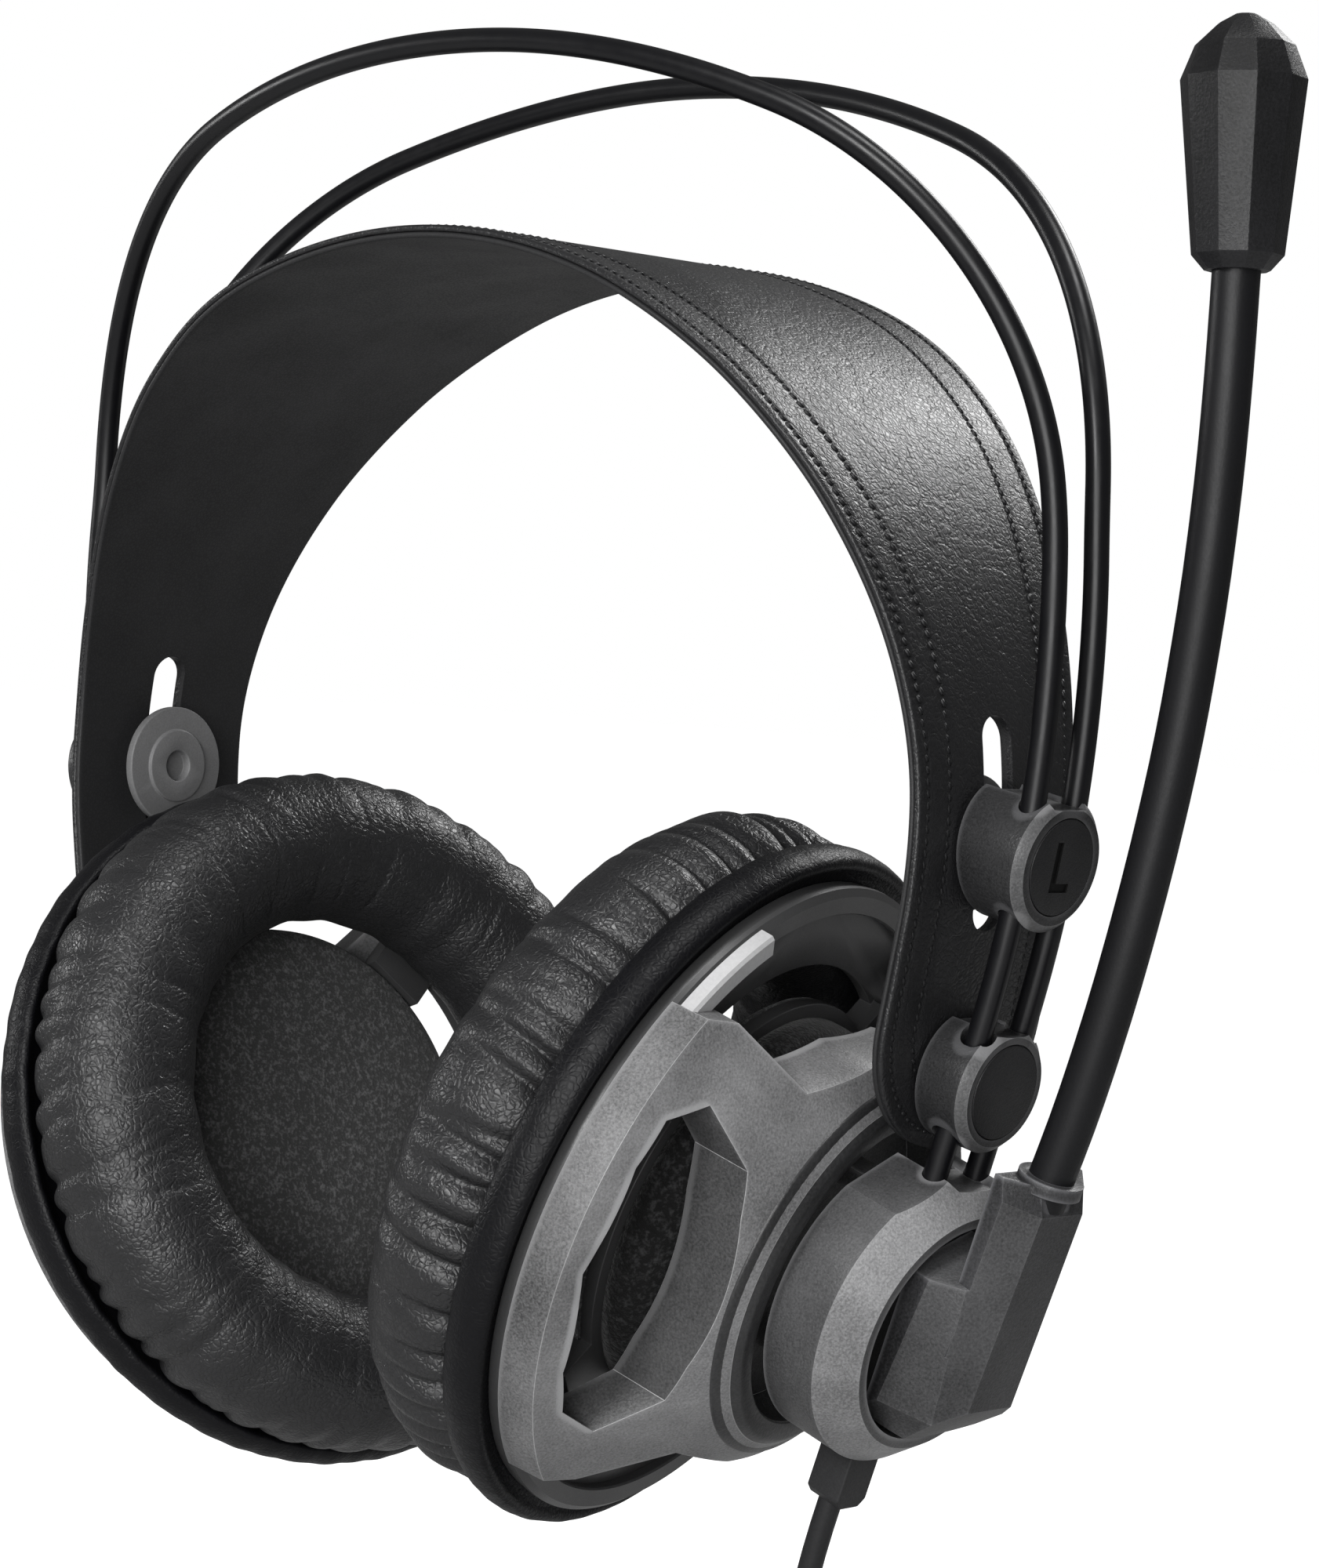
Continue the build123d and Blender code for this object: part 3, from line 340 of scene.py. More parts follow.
# ---------------------------------------------------------------- finishes
@dataclass(frozen=True)
class Moulded:
    """Moulded plastic or painted metal with a fine grain, with an optional painted highlight on outer edges
    and painted shade in inner corners.
    """

    name: str
    colour: Colour
    roughness: float = 0.5
    grain: float = 0.28 * MM
    depth: float = 0.05 * MM
    contrast: float = 0.35
    specular: float = 0.5
    # Share by which the painted highlight on outer edges is lighter; above 0, inner corners also get painted
    # shade.
    wear: float = 0.0
    reach: float = 1.0 * MM

    def material(self) -> bpy.types.Material:
        """Build the material once, and hand the same one out after that."""
        if self.name in bpy.data.materials:
            return bpy.data.materials[self.name]
        wiring, shader = fresh_material(self.name)
        grain = wiring.add("ShaderNodeGroup", node_tree=GRAIN)
        grain.inputs["Size"].default_value = self.grain
        tone = grain.outputs["Tone"]
        dark = scaled(self.colour, 1 - self.contrast)
        light = scaled(self.colour, 1 + self.contrast)
        colour = blended(wiring, tone, dark, light)
        # Painted highlight on outer edges, then painted shade in inner corners.
        if self.wear > 0:
            edges = wiring.add("ShaderNodeGroup", node_tree=EDGES)
            edges.inputs["Reach"].default_value = self.reach
            colour = tinted(wiring, edges.outputs["Edge"], colour, scaled(self.colour, 1 + self.wear))
            colour = tinted(wiring, edges.outputs["Crease"], colour, scaled(self.colour, 0.35))
        wiring.feed(shader.inputs["Base Color"], colour)
        low, high = self.roughness + 0.06, self.roughness - 0.06
        wiring.feed(shader.inputs["Roughness"], wiring.spread(tone, 0.0, 1.0, low, high))
        shader.inputs["Specular IOR Level"].default_value = self.specular
        if self.depth > 0:
            bump = wiring.add("ShaderNodeBump")
            bump.inputs["Strength"].default_value = 0.8
            bump.inputs["Distance"].default_value = self.depth
            wiring.feed(bump.inputs["Height"], grain.outputs["Height"])
            wiring.feed(shader.inputs["Normal"], bump.outputs[0])
        return bpy.data.materials[self.name]


@dataclass(frozen=True)
class Hide:
    """Leather or leatherette."""

    name: str
    colour: Colour
    roughness: float = 0.42
    cell: float = 0.8 * MM
    depth: float = 0.12 * MM
    wrinkle: float = 0.5
    coat: float = 0.0
    specular: float = 0.5

    def material(self) -> bpy.types.Material:
        """Build the material once, and hand the same one out after that."""
        if self.name in bpy.data.materials:
            return bpy.data.materials[self.name]
        wiring, shader = fresh_material(self.name)
        grain = wiring.add("ShaderNodeGroup", node_tree=HIDE)
        grain.inputs["Cell"].default_value = self.cell
        grain.inputs["Wrinkle"].default_value = self.wrinkle
        tone = grain.outputs["Tone"]
        colour = blended(wiring, tone, scaled(self.colour, 0.6), scaled(self.colour, 1.35))
        wiring.feed(shader.inputs["Base Color"], colour)
        low, high = self.roughness + 0.1, self.roughness - 0.07
        wiring.feed(shader.inputs["Roughness"], wiring.spread(tone, 0.2, 0.8, low, high))
        shader.inputs["Coat Weight"].default_value = self.coat
        shader.inputs["Coat Roughness"].default_value = 0.3
        shader.inputs["Specular IOR Level"].default_value = self.specular
        bump = wiring.add("ShaderNodeBump")
        bump.inputs["Strength"].default_value = 0.9
        bump.inputs["Distance"].default_value = self.depth
        wiring.feed(bump.inputs["Height"], grain.outputs["Height"])
        wiring.feed(shader.inputs["Normal"], bump.outputs[0])
        return bpy.data.materials[self.name]


@dataclass(frozen=True)
class Fleece:
    """Open foam or brushed cloth with light flecks."""

    name: str
    colour: Colour
    fleck: Colour
    size: float = 0.45 * MM
    depth: float = 0.35 * MM

    def material(self) -> bpy.types.Material:
        """Build the material once, and hand the same one out after that."""
        if self.name in bpy.data.materials:
            return bpy.data.materials[self.name]
        wiring, shader = fresh_material(self.name)
        grain = wiring.add("ShaderNodeGroup", node_tree=GRAIN)
        grain.inputs["Size"].default_value = self.size
        grain.inputs["Patch"].default_value = 4 * self.size
        flecks = wiring.spread(grain.outputs["Height"], 0.48, 0.66, 0.0, 1.0)
        wiring.feed(shader.inputs["Base Color"], blended(wiring, flecks, self.colour, self.fleck))
        wiring.feed(shader.inputs["Roughness"], wiring.spread(grain.outputs["Tone"], 0.0, 1.0, 0.8, 1.0))
        shader.inputs["Specular IOR Level"].default_value = 0.15
        shader.inputs["Sheen Weight"].default_value = 0.15
        shader.inputs["Sheen Roughness"].default_value = 0.5
        bump = wiring.add("ShaderNodeBump")
        bump.inputs["Strength"].default_value = 1.0
        bump.inputs["Distance"].default_value = self.depth
        wiring.feed(bump.inputs["Height"], grain.outputs["Height"])
        wiring.feed(shader.inputs["Normal"], bump.outputs[0])
        return bpy.data.materials[self.name]


@dataclass(frozen=True)
class Bright:
    """Bare or plated metal."""

    name: str
    colour: Colour
    roughness: float = 0.28
    grain: float = 0.5 * MM

    def material(self) -> bpy.types.Material:
        """Build the material once, and hand the same one out after that."""
        if self.name in bpy.data.materials:
            return bpy.data.materials[self.name]
        wiring, shader = fresh_material(self.name)
        grain = wiring.add("ShaderNodeGroup", node_tree=GRAIN)
        grain.inputs["Size"].default_value = self.grain
        tone = grain.outputs["Tone"]
        colour = blended(wiring, tone, scaled(self.colour, 0.8), self.colour)
        wiring.feed(shader.inputs["Base Color"], colour)
        low, high = self.roughness - 0.05, self.roughness + 0.1
        wiring.feed(shader.inputs["Roughness"], wiring.spread(tone, 0.0, 1.0, low, high))
        shader.inputs["Metallic"].default_value = 1.0
        return bpy.data.materials[self.name]


WIRE = Moulded("satin_wire", (0.004, 0.004, 0.005), 0.36, 2.0 * MM, 0.0, 0.1, 0.4)
SHELL = Moulded("grained_shell", (0.190, 0.190, 0.193), 0.42, 0.30 * MM, 0.09 * MM, 0.5, 0.45, 0.9)
# Painted shade: the shell's outer side wall, darker than its face.
SHELL_SIDE_SHADE = Moulded("shell_side", (0.145, 0.145, 0.147), 0.46, 0.32 * MM, 0.11 * MM, 0.65, 0.35, 0.7)
# Painted shade: the walls in the shell's openings, its well and its deep inside.
SHELL_WALL_SHADE = Moulded("shell_wall", (0.060, 0.060, 0.061), 0.46, 0.32 * MM, 0.11 * MM, 0.65, 0.35, 1.2)
# Painted highlight on the shell's eased edges.
SHELL_EDGE_HIGHLIGHT = Moulded("shell_edge", (0.36, 0.36, 0.364), 0.36, 0.42 * MM, 0.02 * MM, 0.3, 0.5)
TRIM = Moulded("collar_trim", (0.028, 0.028, 0.029), 0.36, 0.42 * MM, 0.08 * MM, 0.5, 0.5)
HUB = Moulded("grained_hub", (0.080, 0.080, 0.082), 0.40, 0.30 * MM, 0.09 * MM, 0.5, 0.45, 2.0)
# Painted light: the hub's sloping rim, lighter than its body.
HUB_RIM_LIGHT = Moulded("hub_rim", (0.250, 0.250, 0.254), 0.40, 0.30 * MM, 0.09 * MM, 0.5, 0.45, 0.7)
# Painted highlight on the hub's eased edges.
HUB_EDGE_HIGHLIGHT = Moulded("hub_edge", (0.42, 0.42, 0.424), 0.36, 0.42 * MM, 0.02 * MM, 0.3, 0.5)
ARM = Moulded("grained_arm", (0.038, 0.038, 0.040), 0.38, 0.32 * MM, 0.10 * MM, 0.65, 0.45, 2.6, 0.8 * MM)
# Painted highlight on the arm's eased edges.
ARM_EDGE_HIGHLIGHT = Moulded("arm_edge", (0.17, 0.17, 0.173), 0.34, 0.40 * MM, 0.02 * MM, 0.3, 0.5)
# Painted light: the arm's slopes to the front and rear, lighter than its crest.
ARM_SLOPE_LIGHT = Moulded("arm_slope", (0.060, 0.060, 0.062), 0.38, 0.32 * MM, 0.10 * MM, 0.6, 0.45, 1.6, 0.8 * MM)
KNOB = Moulded("grained_knob", (0.026, 0.026, 0.027), 0.38, 0.30 * MM, 0.10 * MM, 0.65, 0.45, 2.0)
# Painted light: the knob's sloping rim, lighter than its body.
KNOB_RIM_LIGHT = Moulded("knob_rim", (0.110, 0.110, 0.112), 0.36, 0.30 * MM, 0.08 * MM, 0.5, 0.5, 1.0)
# Painted highlight on the knob's eased edges.
KNOB_EDGE_HIGHLIGHT = Moulded("knob_edge", (0.24, 0.24, 0.243), 0.36, 0.38 * MM, 0.02 * MM, 0.3, 0.5)
MARK = Moulded("mark_floor", (0.004, 0.004, 0.004), 0.6, 0.3 * MM, 0.0, 0.1, 0.2)
# Painted reflection: pale strip on the upper ledge where a lamp would glint.
REFLECTION_STRIP = Moulded("pale_clip_plate", (0.55, 0.55, 0.555), 0.35, 0.5 * MM, 0.01 * MM, 0.1, 0.5)
KNOB_FACE = Moulded("knob_face", (0.015, 0.015, 0.016), 0.45, 0.22 * MM, 0.08 * MM, 0.45, 0.4)
WASHER = Moulded("grey_washer", (0.17, 0.17, 0.172), 0.50, 0.25 * MM, 0.04 * MM, 0.2, 0.4)
INNER = Moulded("matt_inner", (0.008, 0.008, 0.008), 0.7, 0.3 * MM, 0.03 * MM, 0.3, 0.15)
RING = Moulded("satin_baffle", (0.060, 0.060, 0.061), 0.34, 0.26 * MM, 0.01 * MM, 0.15, 0.5)
CAPSULE = Moulded("grained_capsule", (0.012, 0.012, 0.013), 0.42, 0.32 * MM, 0.10 * MM, 0.65, 0.35, 1.6)
BOOM = Moulded("boom_sleeve", (0.007, 0.007, 0.008), 0.46, 0.35 * MM, 0.03 * MM, 0.25, 0.3)
CABLE = Moulded("cable_sheath", (0.018, 0.018, 0.019), 0.45, 0.4 * MM, 0.015 * MM, 0.25, 0.35)
RUBBER = Moulded("moulded_rubber", (0.022, 0.022, 0.023), 0.5, 0.3 * MM, 0.03 * MM, 0.3, 0.35)
STRAP_HIDE = Hide("tanned_strap", (0.014, 0.014, 0.015), 0.40, 0.75 * MM, 0.05 * MM, 0.9, 0.0, 0.5)
STRAP_LINING = Hide("smooth_lining", (0.022, 0.022, 0.023), 0.50, 0.5 * MM, 0.015 * MM, 0.2, 0.0, 0.35)
PAD_HIDE = Hide("pad_leatherette", (0.019, 0.019, 0.020), 0.38, 0.75 * MM, 0.08 * MM, 0.8, 0.0, 0.5)
LIP_HIDE = Hide("lip_leatherette", (0.003, 0.003, 0.004), 0.46, 0.8 * MM, 0.05 * MM, 0.5, 0.0, 0.25)
THREAD = Moulded("sewing_thread", (0.010, 0.010, 0.011), 0.45, 0.2 * MM, 0.02 * MM, 0.3, 0.4)
FOAM = Fleece("speckled_foam", (0.060, 0.060, 0.060), (0.170, 0.170, 0.172), 0.4 * MM)
FELT = Fleece("housing_felt", (0.009, 0.009, 0.009), (0.045, 0.045, 0.046), 0.5 * MM)
STEEL = Bright("plain_steel", (0.42, 0.42, 0.43))
DARK_STEEL = Bright("blackened_steel", (0.06, 0.06, 0.062), 0.4)
GOLD = Bright("plated_plug", (0.83, 0.62, 0.28), 0.2)
Finish = Moulded | Hide | Fleece | Bright


# ---------------------------------------------------------------- mesh tools
def new_piece(name: str, mesh: bpy.types.Mesh, finish: Finish) -> bpy.types.Object:
    """Put a mesh in the scene as a dressed piece.

    Args:
        name: The piece's name.
        mesh: Its mesh, in the part's own frame.
        finish: Its finish.

    Returns:
        The new object.
    """
    piece = bpy.data.objects.new(name, mesh)
    bpy.context.scene.collection.objects.link(piece)
    mesh.materials.clear()
    mesh.materials.append(finish.material())
    return piece


def settle(piece: bpy.types.Object) -> bpy.types.Object:
    """Turn a piece's modifiers into plain mesh.

    Args:
        piece: The piece.

    Returns:
        The same piece, with no modifier left.
    """
    graph = bpy.context.evaluated_depsgraph_get()
    graph.update()
    done = piece.evaluated_get(graph)
    mesh = bpy.data.meshes.new_from_object(done, preserve_all_data_layers=True, depsgraph=graph)
    mesh.name = piece.name
    piece.modifiers.clear()
    piece.data = mesh
    return piece


def hand_over(piece: bpy.types.Object, body: str, slot: str, *nodes: str) -> bpy.types.Object:
    """Attach a piece to the body that carries it, and hide the frame's nodes that it replaces.

    Args:
        piece: The finished piece.
        body: The body that carries it.
        slot: Not used.
        nodes: The frame's nodes that it replaces.

    Returns:
        The piece.
    """
    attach(piece, body)
    if nodes:
        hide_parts(*nodes)
    LOG.info("%s rides on %s", piece.name, body)
    return piece


def surface(
    name: str, rows: np.ndarray, finish: Finish, close_rows: bool, close_columns: bool
) -> bpy.types.Object:
    """Make a piece from a grid of points.

    Args:
        name: The piece's name.
        rows: Points as an array of rows, columns and coordinates.
        finish: Its finish.
        close_rows: Whether the last row joins the first.
        close_columns: Whether the last column joins the first.

    Returns:
        The piece, smooth, with its faces outwards.
    """
    count, width = rows.shape[:2]
    index = np.arange(count * width).reshape(count, width)
    if close_rows:
        index = np.vstack([index, index[:1]])
    if close_columns:
        index = np.hstack([index, index[:, :1]])
    faces = np.stack([index[:-1, :-1], index[:-1, 1:], index[1:, 1:], index[1:, :-1]], axis=-1).reshape(-1, 4)
    mesh = bpy.data.meshes.new(name)
    mesh.from_pydata(rows.reshape(-1, 3).tolist(), [], faces.tolist())
    tool = bmesh.new()
    tool.from_mesh(mesh)
    bmesh.ops.remove_doubles(tool, verts=tool.verts, dist=1e-7)
    bmesh.ops.recalc_face_normals(tool, faces=tool.faces)
    tool.to_mesh(mesh)
    tool.free()
    mesh.polygons.foreach_set("use_smooth", [True] * len(mesh.polygons))
    return new_piece(name, mesh, finish)


def close_ends(piece: bpy.types.Object, weld: float = 0.0, sharp: float = 0.0) -> bpy.types.Object:
    """Fill a piece's open ends and turn its faces outwards.

    Args:
        piece: The piece.
        weld: Distance below which its points are joined first, or 0.
        sharp: Edges that turn more than this many degrees stay sharp, or 0 for none.

    Returns:
        The same piece.
    """
    tool = bmesh.new()
    tool.from_mesh(piece.data)
    if weld:
        bmesh.ops.remove_doubles(tool, verts=tool.verts, dist=weld)
    bmesh.ops.holes_fill(tool, edges=[edge for edge in tool.edges if edge.is_boundary])
    bmesh.ops.recalc_face_normals(tool, faces=tool.faces)
    tool.to_mesh(piece.data)
    tool.free()
    if sharp:
        piece.data.set_sharp_from_angle(angle=math.radians(sharp))
    return piece


def revolved(profile: tuple | list, angles: np.ndarray) -> tuple[np.ndarray, np.ndarray]:
    """Turn a profile through some angles.

    Args:
        profile: Pairs of radius and depth.
        angles: The angles in radians.

    Returns:
        Radii and depths, one row for each pair.
    """
    radii = np.array([radius for radius, _ in profile])[:, None] * np.ones_like(angles)
    depths = np.array([depth for _, depth in profile])[:, None] * np.ones_like(angles)
    return radii, depths


def merged_copy(node: str) -> bpy.types.Mesh:
    """Copy a frame node's mesh with its loose triangles joined into whole faces.

    Args:
        node: The node's name.

    Returns:
        The merged mesh.
    """
    mesh = frame["nodes"][node].data.copy()
    tool = bmesh.new()
    tool.from_mesh(mesh)
    bmesh.ops.remove_doubles(tool, verts=tool.verts, dist=2e-6)
    bmesh.ops.dissolve_limit(
        tool, angle_limit=math.radians(0.6), verts=tool.verts[:], edges=tool.edges[:],
        use_dissolve_boundaries=False,
    )
    tool.to_mesh(mesh)
    tool.free()
    return mesh


def eased(
    node: str, finish: Finish, width: float, angle: float = 24.0, edge: Finish | None = None
) -> bpy.types.Object:
    """Make a moulded copy of a frame node, with its edges eased as a mould leaves them.

    Args:
        node: The node's name.
        finish: Its finish.
        width: Width of the eased edge in metres.
        angle: Edges that turn more than this many degrees are eased.
        edge: Finish of the eased edges where they carry a painted highlight.

    Returns:
        The piece.
    """
    piece = new_piece(f"{node}_moulded", merged_copy(node), finish)
    piece.data.polygons.foreach_set("use_smooth", [True] * len(piece.data.polygons))
    ease = piece.modifiers.new("ease", "BEVEL")
    ease.width = width
    ease.segments = 3
    ease.limit_method = "ANGLE"
    ease.angle_limit = math.radians(angle)
    ease.harden_normals = True
    ease.use_clamp_overlap = True
    # The eased edges get the finish with the painted highlight.
    if edge is not None:
        piece.data.materials.append(edge.material())
        ease.material = 1
    return settle(piece)


def dress_copy(
    node: str, finish: Finish, width: float = 0.3 * MM, angle: float = 24.0, edge: Finish | None = None
) -> bpy.types.Object:
    """Replace a frame node by its eased copy.

    Args:
        node: The node's name.
        finish: Its finish.
        width: Width of the eased edge in metres.
        angle: Edges that turn more than this many degrees are eased.
        edge: Finish of the eased edges where they carry a painted highlight.

    Returns:
        The piece.
    """
    slots = {entry["node"]: entry["material_slot"] for entry in frame["record"]["subparts"]}
    return hand_over(eased(node, finish, width, angle, edge), BODY_OF[node], slots[node], node)


def tone_slopes(
    piece: bpy.types.Object, axis: Vector, finish: Finish, low: float = 0.3, high: float = 0.95
) -> None:
    """Give the faces that slope towards an axis a lighter finish, which paints light on them.

    Args:
        piece: The piece, whose first material its plain faces have.
        axis: Direction that its front faces.
        finish: Finish of the sloping faces, with the painted light.
        low: Least share of the axis in a sloping face's normal.
        high: Largest share of it.
    """
    piece.data.materials.append(finish.material())
    last = len(piece.data.materials) - 1
    for face in piece.data.polygons:
        if face.material_index == 0 and low < face.normal.dot(axis) < high:
            face.material_index = last


def paint(node: str, finish: Finish) -> None:
    """Give a frame node a better material.

    Args:
        node: The node's name.
        finish: Its finish.
    """
    target = frame["nodes"][node]
    for slot in target.material_slots:
        slot.material = finish.material()
    if not target.material_slots:
        target.data.materials.append(finish.material())
    LOG.info("%s painted %s", node, finish.name)


def repeat_along(
    name: str, paths: list[np.ndarray], unit: bpy.types.Mesh, pitch: float, finish: Finish
) -> bpy.types.Object:
    """Repeat a small mesh along paths with Geometry Nodes.

    Args:
        name: The piece's name.
        paths: Lines of points, each with the surface's outward direction in columns 3 to 5.
        unit: The mesh that is repeated, lying along X with Z outwards.
        pitch: Distance from one to the next in metres.
        finish: Its finish.

    Returns:
        The piece, with no modifier left.
    """
    mesh = bpy.data.meshes.new(f"{name}_paths")
    points = np.vstack(paths)
    edges, start = [], 0
    for path in paths:
        edges += [(start + i, start + i + 1) for i in range(len(path) - 1)]
        start += len(path)
    mesh.from_pydata(points[:, :3].tolist(), edges, [])
    facing = mesh.attributes.new("facing", "FLOAT_VECTOR", "POINT")
    facing.data.foreach_set("vector", points[:, 3:].astype(np.float32).ravel())
    source = bpy.data.objects.new(f"{name}_unit", unit)
    bpy.context.scene.collection.objects.link(source)
    tree = bpy.data.node_groups.new(f"{name}_rows", "GeometryNodeTree")
    tree.interface.new_socket("Geometry", in_out="INPUT", socket_type="NodeSocketGeometry")
    pitch_input = tree.interface.new_socket("Pitch", in_out="INPUT", socket_type="NodeSocketFloat")
    unit_input = tree.interface.new_socket("Unit", in_out="INPUT", socket_type="NodeSocketObject")
    tree.interface.new_socket("Geometry", in_out="OUTPUT", socket_type="NodeSocketGeometry")
    wiring = Wiring(tree)
    given = wiring.add("NodeGroupInput")
    curve = wiring.add("GeometryNodeMeshToCurve")
    spaced = wiring.add("GeometryNodeResampleCurve", mode="LENGTH")
    tangent = wiring.add("GeometryNodeInputTangent")
    outward = wiring.add("GeometryNodeInputNamedAttribute", data_type="FLOAT_VECTOR")
    outward.inputs["Name"].default_value = "facing"
    along = wiring.add("FunctionNodeAlignEulerToVector", axis="X")
    upright = wiring.add("FunctionNodeAlignEulerToVector", axis="Z", pivot_axis="X")
    info = wiring.add("GeometryNodeObjectInfo")
    put = wiring.add("GeometryNodeInstanceOnPoints")
    real = wiring.add("GeometryNodeRealizeInstances")
    dye = wiring.add("GeometryNodeSetMaterial")
    dye.inputs["Material"].default_value = finish.material()
    end = wiring.add("NodeGroupOutput")
    wiring.feed(curve.inputs["Mesh"], given.outputs["Geometry"])
    wiring.feed(spaced.inputs["Curve"], curve.outputs[0])
    wiring.feed(spaced.inputs["Length"], given.outputs["Pitch"])
    wiring.feed(along.inputs["Vector"], tangent.outputs[0])
    wiring.feed(upright.inputs["Rotation"], along.outputs[0])
    wiring.feed(upright.inputs["Vector"], outward.outputs["Attribute"])
    wiring.feed(info.inputs["Object"], given.outputs["Unit"])
    wiring.feed(put.inputs["Points"], spaced.outputs[0])
    wiring.feed(put.inputs["Instance"], info.outputs["Geometry"])
    wiring.feed(put.inputs["Rotation"], upright.outputs[0])
    wiring.feed(real.inputs[0], put.outputs[0])
    wiring.feed(dye.inputs["Geometry"], real.outputs[0])
    wiring.feed(end.inputs["Geometry"], dye.outputs[0])
    piece = bpy.data.objects.new(name, mesh)
    bpy.context.scene.collection.objects.link(piece)
    rows = piece.modifiers.new("rows", "NODES")
    rows.node_group = tree
    rows[pitch_input.identifier] = pitch
    rows[unit_input.identifier] = source
    settle(piece)
    bpy.data.objects.remove(source)
    piece.data.polygons.foreach_set("use_smooth", [True] * len(piece.data.polygons))
    return piece


def stitch_unit(length: float, width: float, height: float, slant: float) -> bpy.types.Mesh:
    """Make one sewn stitch: a low rounded bead.

    Args:
        length: Its length in metres.
        width: Its width.
        height: Its height.
        slant: Its turn from the row in degrees.

    Returns:
        A closed mesh along X.
    """
    tool = bmesh.new()
    bmesh.ops.create_icosphere(tool, subdivisions=1, radius=0.5)
    bmesh.ops.scale(tool, vec=(length, width, height), verts=tool.verts)
    bmesh.ops.rotate(tool, matrix=Matrix.Rotation(math.radians(slant), 3, "Z"), verts=tool.verts)
    mesh = bpy.data.meshes.new("stitch_unit")
    tool.to_mesh(mesh)
    tool.free()
    return mesh


# ---------------------------------------------------------------- studio
@dataclass
class Studio:
    """Camera, floor and lights."""

    position: tuple[float, float, float] = (0.38589, -0.40995, -0.04842)
    target: tuple[float, float, float] = (-0.03351, 0.06231, -0.07137)
    roll: float = 3.336
    lens: float = 96.70
    sensor: float = 36.0
    floor_gap: float = 0.004
    world: float = 0.07
    shine: float = 0.06

    def build(self) -> None:
        """Make everything round the object."""
        self.place_camera()
        self.lay_floor()
        self.hang_lamps()
        bpy.context.scene.view_settings.view_transform = "Standard"

    def place_camera(self) -> None:
        """Aim the camera."""
        data = bpy.data.cameras.new("camera")
        data.lens = self.lens
        data.sensor_fit = "VERTICAL"
        data.sensor_height = self.sensor
        data.clip_start = 0.01
        back = (Vector(self.position) - Vector(self.target)).normalized()
        right = Vector((0, 0, 1)).cross(back).normalized()
        upright = Matrix((right, back.cross(right), back)).transposed().to_4x4()
        camera = bpy.data.objects.new("camera", data)
        turn = Matrix.Rotation(math.radians(self.roll), 4, "Z")
        camera.matrix_world = Matrix.Translation(self.position) @ upright @ turn
        bpy.context.scene.collection.objects.link(camera)
        bpy.context.scene.camera = camera

    def lay_floor(self) -> None:
        """Make a wide pale floor and a white surround."""
        level = CAD_BOX[0][2] - self.floor_gap
        mesh = bpy.data.meshes.new("floor")
        reach = 8.0
        corners = [(x * reach, y * reach, level) for x, y in ((-1, -1), (1, -1), (1, 1), (-1, 1))]
        mesh.from_pydata(corners, [], [(0, 1, 2, 3)])
        floor = bpy.data.objects.new("floor", mesh)
        bpy.context.scene.collection.objects.link(floor)
        material = bpy.data.materials.new("pale_floor")
        material.use_nodes = True
        material.node_tree.nodes.clear()
        wiring = Wiring(material.node_tree)
        matt = wiring.add("ShaderNodeBsdfDiffuse")
        matt.inputs["Color"].default_value = (0.4, 0.4, 0.4, 1)
        glow = wiring.add("ShaderNodeEmission")
        wiring.feed(glow.inputs["Strength"], self.seen(wiring))
        both = wiring.add("ShaderNodeAddShader")
        wiring.feed(both.inputs[0], matt.outputs[0])
        wiring.feed(both.inputs[1], glow.outputs[0])
        wiring.feed(wiring.add("ShaderNodeOutputMaterial").inputs["Surface"], both.outputs[0])
        mesh.materials.append(material)
        world = bpy.data.worlds.new("surround")
        world.use_nodes = True
        wiring = Wiring(world.node_tree)
        backdrop = world.node_tree.nodes["Background"]
        wiring.feed(backdrop.inputs["Strength"], wiring.spread(self.seen(wiring), 0.0, 1.0, self.world, 1.0))
        backdrop.inputs["Color"].default_value = (1, 1, 1, 1)
        bpy.context.scene.world = world

    def seen(self, wiring: Wiring) -> bpy.types.NodeSocket:
        """Mask of the rays that show the background.

        Args:
            wiring: The tree's wiring.

        Returns:
            1 for camera and transmission rays, and the shine's share for glossy ones.
        """
        path = wiring.add("ShaderNodeLightPath").outputs
        shine = wiring.maths("MULTIPLY", path["Is Glossy Ray"], self.shine)
        gloss = wiring.maths("MAXIMUM", shine, path["Is Transmission Ray"])
        return wiring.maths("MAXIMUM", path["Is Camera Ray"], gloss)

    def hang_lamps(self) -> None:
        """Hang the soft lamps."""
        aim = Vector((0.0, 0.0, -0.08))
        for name, place, size, power in (
            ("front_wide", (0.60, -0.97, 0.03), 0.66, 8.0),
            ("front_high", (0.16, -1.05, 0.45), 0.30, 6.5),
            ("rear_high", (-0.05, 0.92, 0.60), 0.34, 4.2),
            ("overhead", (0.30, -0.10, 1.05), 0.34, 5.0),
            ("edge", (-1.0, -0.45, 0.15), 0.22, 2.0),
        ):
            data = bpy.data.lights.new(name, "AREA")
            data.size = size
            data.energy = power
            lamp = bpy.data.objects.new(name, data)
            lamp.location = place
            lamp.rotation_euler = (Vector(place) - aim).to_track_quat("Z", "Y").to_euler()
            bpy.context.scene.collection.objects.link(lamp)


